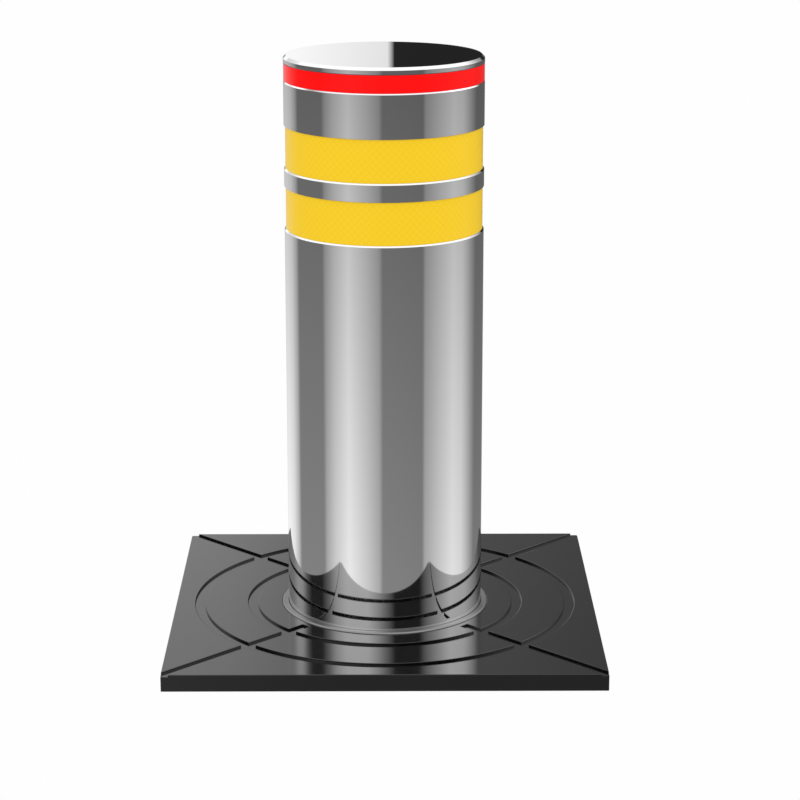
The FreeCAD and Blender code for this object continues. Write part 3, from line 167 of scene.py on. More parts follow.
# The low row is brightest near its foot and fades towards the horizon.
foot = {"Value": height.outputs[0], "From Min": -22, "From Max": -6, "To Min": 1.17, "To Max": 0.45}
fade = add(tree, "ShaderNodeMapRange", foot).outputs["Result"]
low_lit = add(tree, "ShaderNodeVectorMath", {0: low_row, 3: fade}, operation="SCALE")
light = stacked(low_lit.outputs[0], screened.outputs[0], 3, 6.5)
light = stacked(light, high_row, 11, 17)
overhead = [0.45, 0.45, 0.45, 1]
light = stacked(light, overhead, 26, 42)
underneath = [0.03, 0.03, 0.03, 1]
light = stacked(underneath, light, -60, -35)
sky = add(tree, "ShaderNodeBackground", {"Color": light, "Strength": brightest})
add(tree, "ShaderNodeOutputWorld", {"Surface": sky.outputs[0]})

paving_white = bpy.data.materials.new("white_paving")
paving_white.use_nodes = True
paving_white.cycles.emission_sampling = "NONE"
tree = paving_white.node_tree
tree.nodes.clear()
glow = add(tree, "ShaderNodeEmission", {"Color": linear("#FEFEFE"), "Strength": 1.0})
add(tree, "ShaderNodeOutputMaterial", {"Surface": glow.outputs[0]})

# The floor and a white half dome over it are seen, but polished surfaces mirror only the panels.
studio_radius = 40
floor = bmesh.new()
bmesh.ops.create_circle(floor, cap_ends=True, segments=96, radius=studio_radius)
dome = bmesh.new()
bmesh.ops.create_uvsphere(dome, u_segments=96, v_segments=48, radius=studio_radius)
below_floor = [vertex for vertex in dome.verts if vertex.co.z < -1e-4]
bmesh.ops.delete(dome, geom=below_floor, context="VERTS")
for name, shape in (("paving", floor), ("backdrop", dome)):
    mesh = bpy.data.meshes.new(name)
    shape.to_mesh(mesh)
    shape.free()
    stage_piece = bpy.data.objects.new(name, mesh)
    bpy.context.scene.collection.objects.link(stage_piece)
    mesh.materials.append(paving_white)
    stage_piece.visible_glossy = False
    stage_piece.visible_transmission = False
    stage_piece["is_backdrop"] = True

# ---- Casing: tube, flange, gussets, base plate and buffer posts
# Hot-dip galvanised mild steel, welded up. The zinc freezes in grains a centimetre across, dull grey with
# a little sheen, each grain a slightly different tone.

MM = 0.001


def make_material(name, finish):
    """A material whose shader takes its sockets from a finish, given the tree and a place on the object."""
    material = bpy.data.materials.new(name)
    material.use_nodes = True
    tree = material.node_tree
    tree.nodes.clear()
    position = add(tree, "ShaderNodeTexCoord").outputs["Object"]
    shader = add(tree, "ShaderNodeBsdfPrincipled", finish(tree, position))
    add(tree, "ShaderNodeOutputMaterial", {"Surface": shader.outputs["BSDF"]})
    return material


def coat(material, *names):
    """Give CAD nodes a material."""
    for name in names:
        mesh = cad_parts[name].data
        mesh.materials.clear()
        mesh.materials.append(material)


def galvanised(tree, position):
    """Zinc grains 11 mm across over slow changes of tone about 90 mm across."""
    grain = add(tree, "ShaderNodeTexVoronoi", {"Vector": position, "Scale": 1 / (11 * MM), "Randomness": 1.0})
    tone = add(tree, "ShaderNodeSeparateColor", {0: grain.outputs["Color"]})
    dull = add(tree, "ShaderNodeTexNoise", {"Vector": position, "Scale": 1 / (90 * MM), "Detail": 4.0})
    mixed = add(tree, "ShaderNodeMath", {0: tone.outputs[0], 1: dull.outputs["Fac"]}, operation="MULTIPLY")
    tones = {0: mixed.outputs[0], 6: linear("#8B9194"), 7: linear("#B4BABD")}
    colour = add(tree, "ShaderNodeMix", tones, data_type="RGBA")
    rough = add(tree, "ShaderNodeMapRange", {"Value": tone.outputs[1], "To Min": 0.38, "To Max": 0.55})
    bump = add(tree, "ShaderNodeBump", {"Height": dull.outputs["Fac"], "Strength": 0.3, "Distance": 0.3 * MM})
    return {
        "Base Color": colour.outputs[2],
        "Metallic": 0.85,
        "Roughness": rough.outputs[0],
        "Normal": bump.outputs[0],
    }


zinc_dipped = make_material("galvanised_steel", galvanised)
coat(zinc_dipped, "casing_tube", "casing_flange", "casing_gussets", "casing_base_plate", "buffer_posts")

# ---- Pipe spigots
# Short lengths of extruded grey plastic pipe for the drain and the supply conduit, each with a thick root
# in the casing's wall. The die leaves faint lines along the pipe.


def extruded_pipe(tree, position):
    """Die lines a millimetre apart along the pipe, coarser than the real ones so that they show."""
    drawn = add(tree, "ShaderNodeMapping", {"Vector": position, "Scale": (6, 900, 900)})
    lines = add(tree, "ShaderNodeTexNoise", {"Vector": drawn.outputs[0], "Scale": 1.0, "Detail": 2.0})
    tones = {0: lines.outputs["Fac"], 6: linear("#4C4D4F"), 7: linear("#58595B")}
    colour = add(tree, "ShaderNodeMix", tones, data_type="RGBA")
    bump = add(
        tree, "ShaderNodeBump", {"Height": lines.outputs["Fac"], "Strength": 0.2, "Distance": 0.1 * MM}
    )
    return {"Base Color": colour.outputs[2], "Roughness": 0.42, "IOR": 1.53, "Normal": bump.outputs[0]}


coat(make_material("extruded_pipe", extruded_pipe), "drain_spigot", "conduit_spigot")

# ---- Turned and drawn steel parts
# Mild steel left bare under a film of oil: rails, collar, head plate, and the bare parts of ram, motor and
# pump. Turning and drawing leave fine parallel lines and a satin grey.


def turned_steel(tree, position):
    """Lathe lines 0.9 mm apart, coarser than the real ones so that they show, under patches of oil."""
    lathe_lines = add(tree, "ShaderNodeMapping", {"Vector": position, "Scale": (40, 40, 1 / (0.9 * MM))})
    lines = add(tree, "ShaderNodeTexNoise", {"Vector": lathe_lines.outputs[0], "Scale": 1.0, "Detail": 3.0})
    oil = add(tree, "ShaderNodeTexNoise", {"Vector": position, "Scale": 1 / (45 * MM), "Detail": 5.0})
    tones = {0: oil.outputs["Fac"], 6: linear("#8F9092"), 7: linear("#A9AAAC")}
    colour = add(tree, "ShaderNodeMix", tones, data_type="RGBA")
    rough = add(tree, "ShaderNodeMapRange", {"Value": lines.outputs["Fac"], "To Min": 0.22, "To Max": 0.45})
    bump = add(
        tree, "ShaderNodeBump", {"Height": lines.outputs["Fac"], "Strength": 0.25, "Distance": 0.05 * MM}
    )
    return {
        "Base Color": colour.outputs[2],
        "Metallic": 1.0,
        "Roughness": rough.outputs[0],
        "Normal": bump.outputs[0],
    }


bare_steel = make_material("turned_mild_steel", turned_steel)
coat(bare_steel, "guide_rails", "stop_collar", "head_plate", "piston", "ram_gland", "return_pipe")
coat(bare_steel, "motor_bearings", "motor_rotor", "drive_gear", "driven_gear")

# ---- Ground and chromed rods
# The ram's rod and the motor's shaft are ground and hard chromed: bright, close to a mirror, with the very
# fine lines of the grinding wheel round them.


def ground_chrome(tree, position):
    """Grinding lines 0.5 mm apart, coarser than the real ones so that they show."""
    wheel_lines = add(tree, "ShaderNodeMapping", {"Vector": position, "Scale": (30, 30, 1 / (0.5 * MM))})
    lines = add(tree, "ShaderNodeTexNoise", {"Vector": wheel_lines.outputs[0], "Scale": 1.0, "Detail": 2.0})
    rough = add(tree, "ShaderNodeMapRange", {"Value": lines.outputs["Fac"], "To Min": 0.06, "To Max": 0.14})
    return {"Base Color": linear("#DADCDE"), "Metallic": 1.0, "Roughness": rough.outputs[0]}


coat(make_material("ground_hard_chrome", ground_chrome), "ram_rod", "motor_shaft")

# ---- Rubber buffers and rings
# Moulded nitrile rubber: the ring and blocks that the collar meets at the ends of its travel, and the ram's
# rings. Matt black, with the faint grey bloom of the mould.


def moulded_rubber(tree, position):
    """A mould's 0.8 mm grain under a bloom in patches of about 20 mm."""
    bloom = add(tree, "ShaderNodeTexNoise", {"Vector": position, "Scale": 1 / (20 * MM), "Detail": 6.0})
    skin = add(tree, "ShaderNodeTexNoise", {"Vector": position, "Scale": 1 / (0.8 * MM), "Detail": 2.0})
    tones = {0: bloom.outputs["Fac"], 6: linear("#1B1B1C"), 7: linear("#2A2A2B")}
    colour = add(tree, "ShaderNodeMix", tones, data_type="RGBA")
    bump = add(tree, "ShaderNodeBump", {"Height": skin.outputs["Fac"], "Strength": 0.3, "Distance": 0.1 * MM})
    return {"Base Color": colour.outputs[2], "Roughness": 0.72, "IOR": 1.52, "Normal": bump.outputs[0]}


black_rubber = make_material("moulded_nitrile_rubber", moulded_rubber)
coat(black_rubber, "buffer_pads", "upper_stop_ring", "piston_rings", "rod_wiper")

# ---- Hydraulic drive
# The pump block, covers and clamp are machined from cast aluminium, so they are pale with a soft satin.
# The barrel, motor and tank are enamelled blue-grey. The winding is varnished copper on a steel core.


def machined_aluminium(tree, position):
    """Cutter lines 1.2 mm apart on metal with a 3 mm cast grain."""
    cutter = add(tree, "ShaderNodeMapping", {"Vector": position, "Scale": (1 / (1.2 * MM), 60, 60)})
    lines = add(tree, "ShaderNodeTexNoise", {"Vector": cutter.outputs[0], "Scale": 1.0, "Detail": 2.0})
    cast = add(tree, "ShaderNodeTexNoise", {"Vector": position, "Scale": 1 / (3 * MM), "Detail": 4.0})
    tones = {0: cast.outputs["Fac"], 6: linear("#B9BBBD"), 7: linear("#CACCCE")}
    colour = add(tree, "ShaderNodeMix", tones, data_type="RGBA")
    rough = add(tree, "ShaderNodeMapRange", {"Value": lines.outputs["Fac"], "To Min": 0.28, "To Max": 0.46})
    bump = add(tree, "ShaderNodeBump", {"Height": cast.outputs["Fac"], "Strength": 0.2, "Distance": 0.1 * MM})
    return {
        "Base Color": colour.outputs[2],
        "Metallic": 1.0,
        "Roughness": rough.outputs[0],
        "Normal": bump.outputs[0],
    }


pale_aluminium = make_material("machined_cast_aluminium", machined_aluminium)
coat(pale_aluminium, "pump_block", "pump_cover", "motor_adapter", "motor_end_cap", "tank_lid", "unit_clamp")


def enamel(tree, position):
    """A sprayed coat with a 2.5 mm peel and slow changes of tone."""
    peel = add(tree, "ShaderNodeTexNoise", {"Vector": position, "Scale": 1 / (2.5 * MM), "Detail": 2.0})
    cloud = add(tree, "ShaderNodeTexNoise", {"Vector": position, "Scale": 1 / (120 * MM), "Detail": 3.0})
    tones = {0: cloud.outputs["Fac"], 6: linear("#4A555F"), 7: linear("#54606B")}
    colour = add(tree, "ShaderNodeMix", tones, data_type="RGBA")
    bump = add(
        tree, "ShaderNodeBump", {"Height": peel.outputs["Fac"], "Strength": 0.15, "Distance": 0.1 * MM}
    )
    return {"Base Color": colour.outputs[2], "Roughness": 0.3, "IOR": 1.5, "Normal": bump.outputs[0]}


coat(make_material("grey_blue_enamel", enamel), "ram_barrel", "motor_housing", "oil_tank")


def varnished_winding(tree, position):
    """Turns of copper wire, drawn a little over a millimetre thick so that they show."""
    wires = add(tree, "ShaderNodeMapping", {"Vector": position, "Scale": (1, 1, 1 / (1.1 * MM))})
    strands = add(tree, "ShaderNodeTexWave", {"Vector": wires.outputs[0], "Scale": 0.5}, bands_direction="Z")
    tones = {0: strands.outputs["Fac"], 6: linear("#6E3518"), 7: linear("#B06A35")}
    colour = add(tree, "ShaderNodeMix", tones, data_type="RGBA")
    bump = add(
        tree, "ShaderNodeBump", {"Height": strands.outputs["Fac"], "Strength": 0.5, "Distance": 0.4 * MM}
    )
    return {"Base Color": colour.outputs[2], "Metallic": 0.4, "Roughness": 0.35, "Normal": bump.outputs[0]}


coat(make_material("varnished_copper_winding", varnished_winding), "motor_stator")

# ---- Release valve
# A brass cartridge screwed in the pump block, with a red plastic knob that lets the bollard down by hand
# when there is no power.


def machined_brass(tree, position):
    """Bright brass with fine patches of duller polish."""
    lines = add(tree, "ShaderNodeTexNoise", {"Vector": position, "Scale": 1 / (0.7 * MM), "Detail": 2.0})
    rough = add(tree, "ShaderNodeMapRange", {"Value": lines.outputs["Fac"], "To Min": 0.2, "To Max": 0.34})
    return {"Base Color": linear("#C9A45C"), "Metallic": 1.0, "Roughness": rough.outputs[0]}


def moulded_knob(tree, position):
    """A spark-eroded grain of 0.6 mm from the mould."""
    spark = add(tree, "ShaderNodeTexNoise", {"Vector": position, "Scale": 1 / (0.6 * MM), "Detail": 2.0})
    bump = add(
        tree, "ShaderNodeBump", {"Height": spark.outputs["Fac"], "Strength": 0.25, "Distance": 0.05 * MM}
    )
    return {"Base Color": linear("#B5161A"), "Roughness": 0.45, "IOR": 1.49, "Normal": bump.outputs[0]}


coat(make_material("machined_brass", machined_brass), "release_valve_cartridge")
coat(make_material("moulded_red_plastic", moulded_knob), "release_knob")

# ---- Guide carrier and bushes
# The carrier is galvanised like the casing. Its two bushes, and the three shoes on the moving collar, are
# turned from cast nylon: ivory and waxy, with the tool's rings.


def cast_nylon(tree, position):
    """Tool rings 1 mm apart, coarser than the real ones so that they show."""
    rings = add(tree, "ShaderNodeMapping", {"Vector": position, "Scale": (20, 20, 1 / (1 * MM))})
    lines = add(tree, "ShaderNodeTexNoise", {"Vector": rings.outputs[0], "Scale": 1.0, "Detail": 2.0})
    bump = add(
        tree, "ShaderNodeBump", {"Height": lines.outputs["Fac"], "Strength": 0.2, "Distance": 0.1 * MM}
    )
    return {
        "Base Color": linear("#E6E1D2"),
        "Roughness": 0.4,
        "IOR": 1.53,
        "Subsurface Weight": 0.15,
        "Subsurface Radius": (2 * MM, 1.6 * MM, 1.2 * MM),
        "Normal": bump.outputs[0],
    }


coat(zinc_dipped, "guide_carrier")
ivory_nylon = make_material("cast_nylon", cast_nylon)
coat(ivory_nylon, "guide_bush_upper", "guide_bush_lower", "guide_shoe_1", "guide_shoe_2", "guide_shoe_3")

# ---- Zinc plated fixings
# Screws, studs and nuts in bright zinc plate: a bluish silver with a thin cloudy film.


def bright_zinc(tree, position):
    """A passivated film in patches of about 4 mm."""
    film = add(tree, "ShaderNodeTexNoise", {"Vector": position, "Scale": 1 / (4 * MM), "Detail": 4.0})
    tones = {0: film.outputs["Fac"], 6: linear("#B7BCC2"), 7: linear("#D0D3D4")}
    colour = add(tree, "ShaderNodeMix", tones, data_type="RGBA")
    rough = add(tree, "ShaderNodeMapRange", {"Value": film.outputs["Fac"], "To Min": 0.16, "To Max": 0.34})
    return {"Base Color": colour.outputs[2], "Metallic": 1.0, "Roughness": rough.outputs[0]}


def copies_round(name, shape, material, count, radius, height):
    """Copies of one shape spread evenly round the bollard's axis by Geometry Nodes, as one plain mesh."""
    mesh = bpy.data.meshes.new(name)
    shape.to_mesh(mesh)
    shape.free()
    tree = bpy.data.node_groups.new(name, "GeometryNodeTree")
    socket = {}
    tree.interface.new_socket("Geometry", in_out="INPUT", socket_type="NodeSocketGeometry")
    for label, kind in (("Count", "Int"), ("Radius", "Float"), ("Height", "Float"), ("Material", "Material")):
        made = tree.interface.new_socket(label, in_out="INPUT", socket_type=f"NodeSocket{kind}")
        socket[label] = made.identifier
    tree.interface.new_socket("Geometry", in_out="OUTPUT", socket_type="NodeSocketGeometry")
    given = add(tree, "NodeGroupInput").outputs
    ring = add(tree, "GeometryNodeMeshCircle", {"Vertices": given["Count"], "Radius": given["Radius"]})
    index = add(tree, "GeometryNodeInputIndex")
    along = add(tree, "ShaderNodeMath", {0: index.outputs[0], 1: given["Count"]}, operation="DIVIDE")
    turn = add(tree, "ShaderNodeMath", {0: along.outputs[0], 1: 2 * pi}, operation="MULTIPLY")
    facing = add(tree, "ShaderNodeCombineXYZ", {"Z": turn.outputs[0]})
    copies = add(
        tree,
        "GeometryNodeInstanceOnPoints",
        {"Points": ring.outputs[0], "Instance": given["Geometry"], "Rotation": facing.outputs[0]},
    )
    lift = add(tree, "ShaderNodeCombineXYZ", {"Z": given["Height"]})
    moved = add(
        tree, "GeometryNodeTransform", {"Geometry": copies.outputs[0], "Translation": lift.outputs[0]}
    )
    solid = add(tree, "GeometryNodeRealizeInstances", {0: moved.outputs[0]})
    coated = add(
        tree, "GeometryNodeSetMaterial", {"Geometry": solid.outputs[0], "Material": given["Material"]}
    )
    add(tree, "NodeGroupOutput", {0: coated.outputs[0]})
    holder = bpy.data.objects.new(name, mesh)
    bpy.context.scene.collection.objects.link(holder)
    spread = holder.modifiers.new("copies", "NODES")
    spread.node_group = tree
    for label, value in (("Count", count), ("Radius", radius), ("Height", height), ("Material", material)):
        spread[socket[label]] = value
    finished = holder.evaluated_get(bpy.context.evaluated_depsgraph_get())
    plain = bpy.data.meshes.new_from_object(finished)
    holder.modifiers.remove(spread)
    bpy.data.objects.remove(holder)
    return plain


def piece(name, mesh, material, body, slot, *replaced):
    """Put a finished mesh in the scene, on its body, in place of the CAD nodes that it stands for."""
    made = bpy.data.objects.new(name, mesh)
    bpy.context.scene.collection.objects.link(made)
    if material:
        mesh.materials.clear()
        mesh.materials.append(material)
    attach(made, body)
    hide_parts(*replaced)


zinc_plate = make_material("bright_zinc_plate", bright_zinc)
coat(zinc_plate, "cap_studs", "cap_nuts", "shoe_screws", "rod_nut", "piston_nut")
coat(zinc_plate, "block_screws", "pump_cover_screws")

# The guide carrier is held by M8 countersunk screws with a six-sided socket. One is built from rings of
# points, from its tip to the socket's floor. Each ring has a radius, a height and either six sides or not.
screw_low, screw_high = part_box("guide_carrier_screws")
screw = 4 * MM
screw_head = 8 * MM
screw_tip = 0.6 * MM
head_edge = 0.3 * MM
screw_tall = screw_high.z - screw_low.z
screw_circle = screw_high.x - screw_head
screw_count = 8
socket_wide = 2.6 * MM
screw_rings = [
    (0, 0, False),
    (screw - screw_tip, 0, False),
    (screw, screw_tip, False),
    (screw, screw_tall - (screw_head - screw), False),
    (screw_head, screw_tall - head_edge, False),
    (screw_head - head_edge, screw_tall, False),
    (socket_wide, screw_tall, True),
    (socket_wide, screw_tall - screw, True),
    (0, screw_tall - screw, False),
]
screw_steps = 24
same_place = 1e-6
one_screw = bmesh.new()
rings = []
for radius, up, six_sided in screw_rings:
    ring = []
    for step in range(screw_steps):
        angle = 2 * pi * step / screw_steps
        reach = radius * cos(pi / 6) / cos(angle % (pi / 3) - pi / 6) if six_sided else radius
        ring.append(one_screw.verts.new((reach * cos(angle), reach * sin(angle), up)))
    rings.append(ring)
for below_ring, above_ring in zip(rings, rings[1:]):
    for step in range(screw_steps):
        after = (step + 1) % screw_steps
        one_screw.faces.new((below_ring[step], below_ring[after], above_ring[after], above_ring[step]))
bmesh.ops.remove_doubles(one_screw, verts=one_screw.verts, dist=same_place)
bmesh.ops.recalc_face_normals(one_screw, faces=one_screw.faces)
screws = copies_round("guide_screws_round", one_screw, zinc_plate, screw_count, screw_circle, screw_low.z)
piece("guide_screws_round", screws, None, "ground_unit", "zinc_fixing", "guide_carrier_screws")

# ---- Cover plate
# A thick cast plate with two ring grooves and four diagonal ones, which shed water and give grip. It is
# stoved with gloss black powder, which rounds every edge a little and has a fine orange peel.


def rounded(corners):
    """An outline of (radius, height) points from corners of (radius, height, rounding)."""
    steps = 6
    outline = []
    for index, (across, up, rounding) in enumerate(corners):
        here = Vector((across, up))
        before = Vector(corners[index - 1][:2]) - here
        after = Vector(corners[(index + 1) % len(corners)][:2]) - here
        if not rounding:
            outline.append(here)
            continue
        before.normalize()
        after.normalize()
        half = before.angle(after) / 2
        reach = rounding / tan(half)
        centre = here + (before + after).normalized() * rounding / sin(half)
        first = here + before * reach - centre
        last = here + after * reach - centre
        for step in range(steps + 1):
            arm = first.lerp(last, step / steps)
            outline.append(centre + arm.normalized() * rounding)
    return outline


def turned(name, outline, steps=384):
    """A closed outline of (radius, height) points turned round the bollard's axis.

    Each long side gets a point close to its ends, so that rounded corners leave its middle flat. A disc
    that reaches the axis becomes one face."""
    hold = 0.15 * MM
    longest_unheld = 6 * hold
    held = []
    for index, here in enumerate(outline):
        here, after = Vector(here), Vector(outline[(index + 1) % len(outline)])
        along = after - here
        held.append(here)
        if along.length > longest_unheld and here.x > 0:
            held.append(here + along.normalized() * hold)
        if along.length > longest_unheld and after.x > 0:
            held.append(after - along.normalized() * hold)
    held = [(round(radius, 7), round(up, 7)) for radius, up in held]
    shape = bmesh.new()
    rings = []
    for step in range(steps):
        angle = 2 * pi * step / steps
        rings.append([shape.verts.new((r * cos(angle), r * sin(angle), z)) for r, z in held])
    count = len(held)
    for step in range(steps):
        here, there = rings[step], rings[(step + 1) % steps]
        for index in range(count):
            after = (index + 1) % count
            shape.faces.new((here[index], there[index], there[after], here[after]))
    bmesh.ops.remove_doubles(shape, verts=shape.verts, dist=same_place)
    slices = [face for face in shape.faces if any(vertex.co.xy.length < same_place for vertex in face.verts)]
    bmesh.ops.dissolve_faces(shape, faces=slices, use_verts=True)
    loose = [vertex for vertex in shape.verts if not vertex.link_faces]
    bmesh.ops.delete(shape, geom=loose, context="VERTS")
    bmesh.ops.recalc_face_normals(shape, faces=shape.faces)
    mesh = bpy.data.meshes.new(name)
    shape.to_mesh(mesh)
    shape.free()
    mesh.shade_smooth()
    mesh.set_sharp_from_angle(angle=radians(28))
    return mesh


def gloss_powder(tree, position):
    """A shallow orange peel of 3 mm under a gloss, with the powder's slow changes of tone."""
    peel = add(tree, "ShaderNodeTexNoise", {"Vector": position, "Scale": 1 / (3 * MM), "Detail": 1.0})
    cloud = add(tree, "ShaderNodeTexNoise", {"Vector": position, "Scale": 1 / (60 * MM), "Detail": 4.0})
    tones = {0: cloud.outputs["Fac"], 6: linear("#0B0B0C"), 7: linear("#0E0E0F")}
    colour = add(tree, "ShaderNodeMix", tones, data_type="RGBA")
    rough = add(tree, "ShaderNodeMapRange", {"Value": cloud.outputs["Fac"], "To Min": 0.1, "To Max": 0.13})
    bump = add(
        tree, "ShaderNodeBump", {"Height": peel.outputs["Fac"], "Strength": 0.03, "Distance": 0.05 * MM}
    )
    return {
        "Base Color": colour.outputs[2],
        "Roughness": rough.outputs[0],
        "IOR": 1.55,
        "Normal": bump.outputs[0],
    }


black_powder = make_material("gloss_black_powder_coat", gloss_powder)


def block(name, low, high):
    """A box between two corners."""
    shape = bmesh.new()
    bmesh.ops.create_cube(shape, size=1)
    for vertex in shape.verts:
        vertex.co = [start + (end - start) * (at + 0.5) for start, end, at in zip(low, high, vertex.co)]
    mesh = bpy.data.meshes.new(name)
    shape.to_mesh(mesh)
    shape.free()
    return mesh


def cut(start, *cutters):
    """A mesh with other meshes cut out of it."""
    whole = bpy.data.objects.new("whole", start)
    tools = [bpy.data.objects.new("tool", cutter) for cutter in cutters]
    for item in [whole, *tools]:
        bpy.context.scene.collection.objects.link(item)
    for tool in tools:
        step = whole.modifiers.new("cut", "BOOLEAN")
        step.operation = "DIFFERENCE"
        step.solver = "EXACT"
        step.object = tool
    finished = whole.evaluated_get(bpy.context.evaluated_depsgraph_get())
    mesh = bpy.data.meshes.new_from_object(finished)
    for item in [whole, *tools]:
        bpy.data.objects.remove(item)
    return mesh


tube_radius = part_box("bollard_tube")[1].x
plate_low, plate_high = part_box("cover_plate")
trim_low, trim_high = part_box("trim_ring")
flange_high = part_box("casing_flange")[1]
carrier_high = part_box("guide_carrier")[1]
seal_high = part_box("wiper_seal")[1]
plate_round = 0.6 * MM
seat_gap = 0.5 * MM
close_fit = 0.05 * MM
groove_wide = 11.2 * MM
groove_deep = 2.4 * MM
groove_inset = 26.8 * MM
groove_step = 60.1 * MM
spoke_gap = 14.5 * MM
outer_groove = plate_high.x - groove_inset
inner_groove = outer_groove - groove_step
spoke_start = tube_radius + spoke_gap
groove_floor = plate_high.z - groove_deep

# The cutters start this far outside the plate, so that no face of theirs lies in one of its own.
over = 5 * MM
under_plate = plate_low.z - over
over_plate = plate_high.z + over


def disc(radius, low, high):
    """A plain disc between two heights."""
    return turned("disc", [(0, low), (radius, low), (radius, high), (0, high)])


rebate = flange_high.x + seat_gap
cutters = [
    block("rebate", (-rebate, -rebate, under_plate), (rebate, rebate, flange_high.z)),
    disc(carrier_high.x + seat_gap, under_plate, carrier_high.z),
    disc(seal_high.x + close_fit, under_plate, over_plate),
    disc(trim_high.x + close_fit, trim_low.z, over_plate),
]
for middle in (inner_groove, outer_groove):
    inside = middle - groove_wide / 2
    outside = middle + groove_wide / 2
    corners = [(inside, groove_floor), (outside, groove_floor), (outside, over_plate), (inside, over_plate)]
    cutters.append(turned("ring_groove", corners))
for quarter in range(4):
    low = (spoke_start, -groove_wide / 2, groove_floor)
    high = (plate_high.x * sqrt(2) + over, groove_wide / 2, over_plate)
    spoke = block("diagonal_groove", low, high)
    spoke.transform(Matrix.Rotation(radians(45 + 90 * quarter), 4, "Z"))
    cutters.append(spoke)
slab = cut(block("slab", plate_low, plate_high), *cutters)
shape = bmesh.new()
shape.from_mesh(slab)
bmesh.ops.remove_doubles(shape, verts=shape.verts, dist=same_place)
shape.normal_update()

# The powder rounds the edges of the top face and the plate's own corners and foot, and nothing inside.
seen_edges = []
for edge in shape.edges:
    ends = [vertex.co for vertex in edge.verts]
    on_top = all(end.z > plate_high.z - same_place for end in ends)
    on_side = all(max(abs(end.x), abs(end.y)) > plate_high.x - same_place for end in ends)
    on_side = on_side and min(end.z for end in ends) < groove_floor - same_place
    if (on_top or on_side) and edge.is_manifold and edge.calc_face_angle() > radians(60):
        seen_edges.append(edge)
bmesh.ops.bevel(
    shape, geom=seen_edges, offset=plate_round, segments=4, profile=0.5, affect="EDGES", clamp_overlap=False
)
plate_mesh = bpy.data.meshes.new("cover_plate_cast")
shape.to_mesh(plate_mesh)
shape.free()
plate_mesh.set_sharp_from_angle(angle=radians(40))
square_on = 0.99999
for face in plate_mesh.polygons:
    face.use_smooth = max(abs(lean) for lean in face.normal) < square_on
piece("cover_plate_cast", plate_mesh, black_powder, "ground_unit", "black_plate", "cover_plate")

# ---- Wiper seal and trim ring
# The wiper is a black rubber lip that keeps grit out of the guide. A satin stainless ring, pressed in the
# plate's counterbore, holds it down and frames the tube.

coat(black_rubber, "wiper_seal")


def satin_stainless(tree, position):
    """A satin that changes a little every 2 mm, without lines."""
    cloud = add(tree, "ShaderNodeTexNoise", {"Vector": position, "Scale": 1 / (2 * MM), "Detail": 3.0})
    rough = add(tree, "ShaderNodeMapRange", {"Value": cloud.outputs["Fac"], "To Min": 0.36, "To Max": 0.44})
    return {"Base Color": linear("#858585"), "Metallic": 1.0, "Roughness": rough.outputs[0]}


satin_ring = make_material("satin_stainless_steel", satin_stainless)
trim_bore = tube_radius + 1.45 * MM
trim_eye = tube_radius + 0.45 * MM
trim_bevel = 1.2 * MM
over_lip = seal_high.z + 0.1 * MM
corners = [
    (trim_bore, trim_low.z, 0),
    (trim_high.x, trim_low.z, 0),
    (trim_high.x, trim_high.z - trim_bevel, 0.1 * MM),
    (trim_high.x - trim_bevel, trim_high.z, 0.2 * MM),
    (trim_eye, trim_high.z, 0.3 * MM),
    (trim_eye, over_lip, 0),
    (trim_bore, over_lip, 0),
]
trim_mesh = turned("trim_ring_satin", rounded(corners))
piece("trim_ring_satin", trim_mesh, satin_ring, "ground_unit", "trim_steel", "trim_ring")

# ---- Bollard tube
# Seamless stainless tube, ground and then mirror polished, with two shallow recesses turned for the
# strips. The steel edges below each strip and below the light ring are bevelled and catch the light.


def mirror_stainless(tree, position):
    """Polishing lines 1.5 mm apart round the tube, coarser than the real ones, in a near mirror."""
    polish = add(tree, "ShaderNodeMapping", {"Vector": position, "Scale": (12, 12, 1 / (1.5 * MM))})
    lines = add(tree, "ShaderNodeTexNoise", {"Vector": polish.outputs[0], "Scale": 1.0, "Detail": 2.0})
    rough = add(tree, "ShaderNodeMapRange", {"Value": lines.outputs["Fac"], "To Min": 0.02, "To Max": 0.06})
    return {"Base Color": linear("#E3E3E4"), "Metallic": 1.0, "Roughness": rough.outputs[0]}


mirror_steel = make_material("mirror_polished_stainless_steel", mirror_stainless)
tube_low, tube_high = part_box("bollard_tube")
tube_wall = 6 * MM
recess = 2 * MM
ledge = 1.8 * MM
lens_ledge_deep = 0.58 * ledge
tube_bore = tube_radius - tube_wall
strip_slack = 0.5 * MM
corners = [(tube_bore, tube_low.z, 0), (tube_radius, tube_low.z, 0.5 * MM)]
for strip in ("lower", "upper"):
    strip_low, strip_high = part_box(f"reflective_strip_{strip}")
    corners += [
        (tube_radius, strip_low.z - ledge, 0),
        (tube_radius - ledge, strip_low.z, 0),
        (tube_radius - recess, strip_low.z, 0),
        (tube_radius - recess, strip_high.z + strip_slack, 0),
        (tube_radius, strip_high.z + strip_slack, 0),
    ]
corners += [
    (tube_radius, tube_high.z - ledge, 0),
    (tube_radius - lens_ledge_deep, tube_high.z, 0),
    (tube_bore, tube_high.z, 0),
]
tube_mesh = turned("bollard_tube_polished", rounded(corners))
piece("bollard_tube_polished", tube_mesh, mirror_steel, "bollard", "polished_steel", "bollard_tube")

# ---- Reflective strips
# Yellow retroreflective film, stuck down in the recesses with its ends meeting at the back. Clear cells
# under its gloss face send light back, so it looks bright and even.


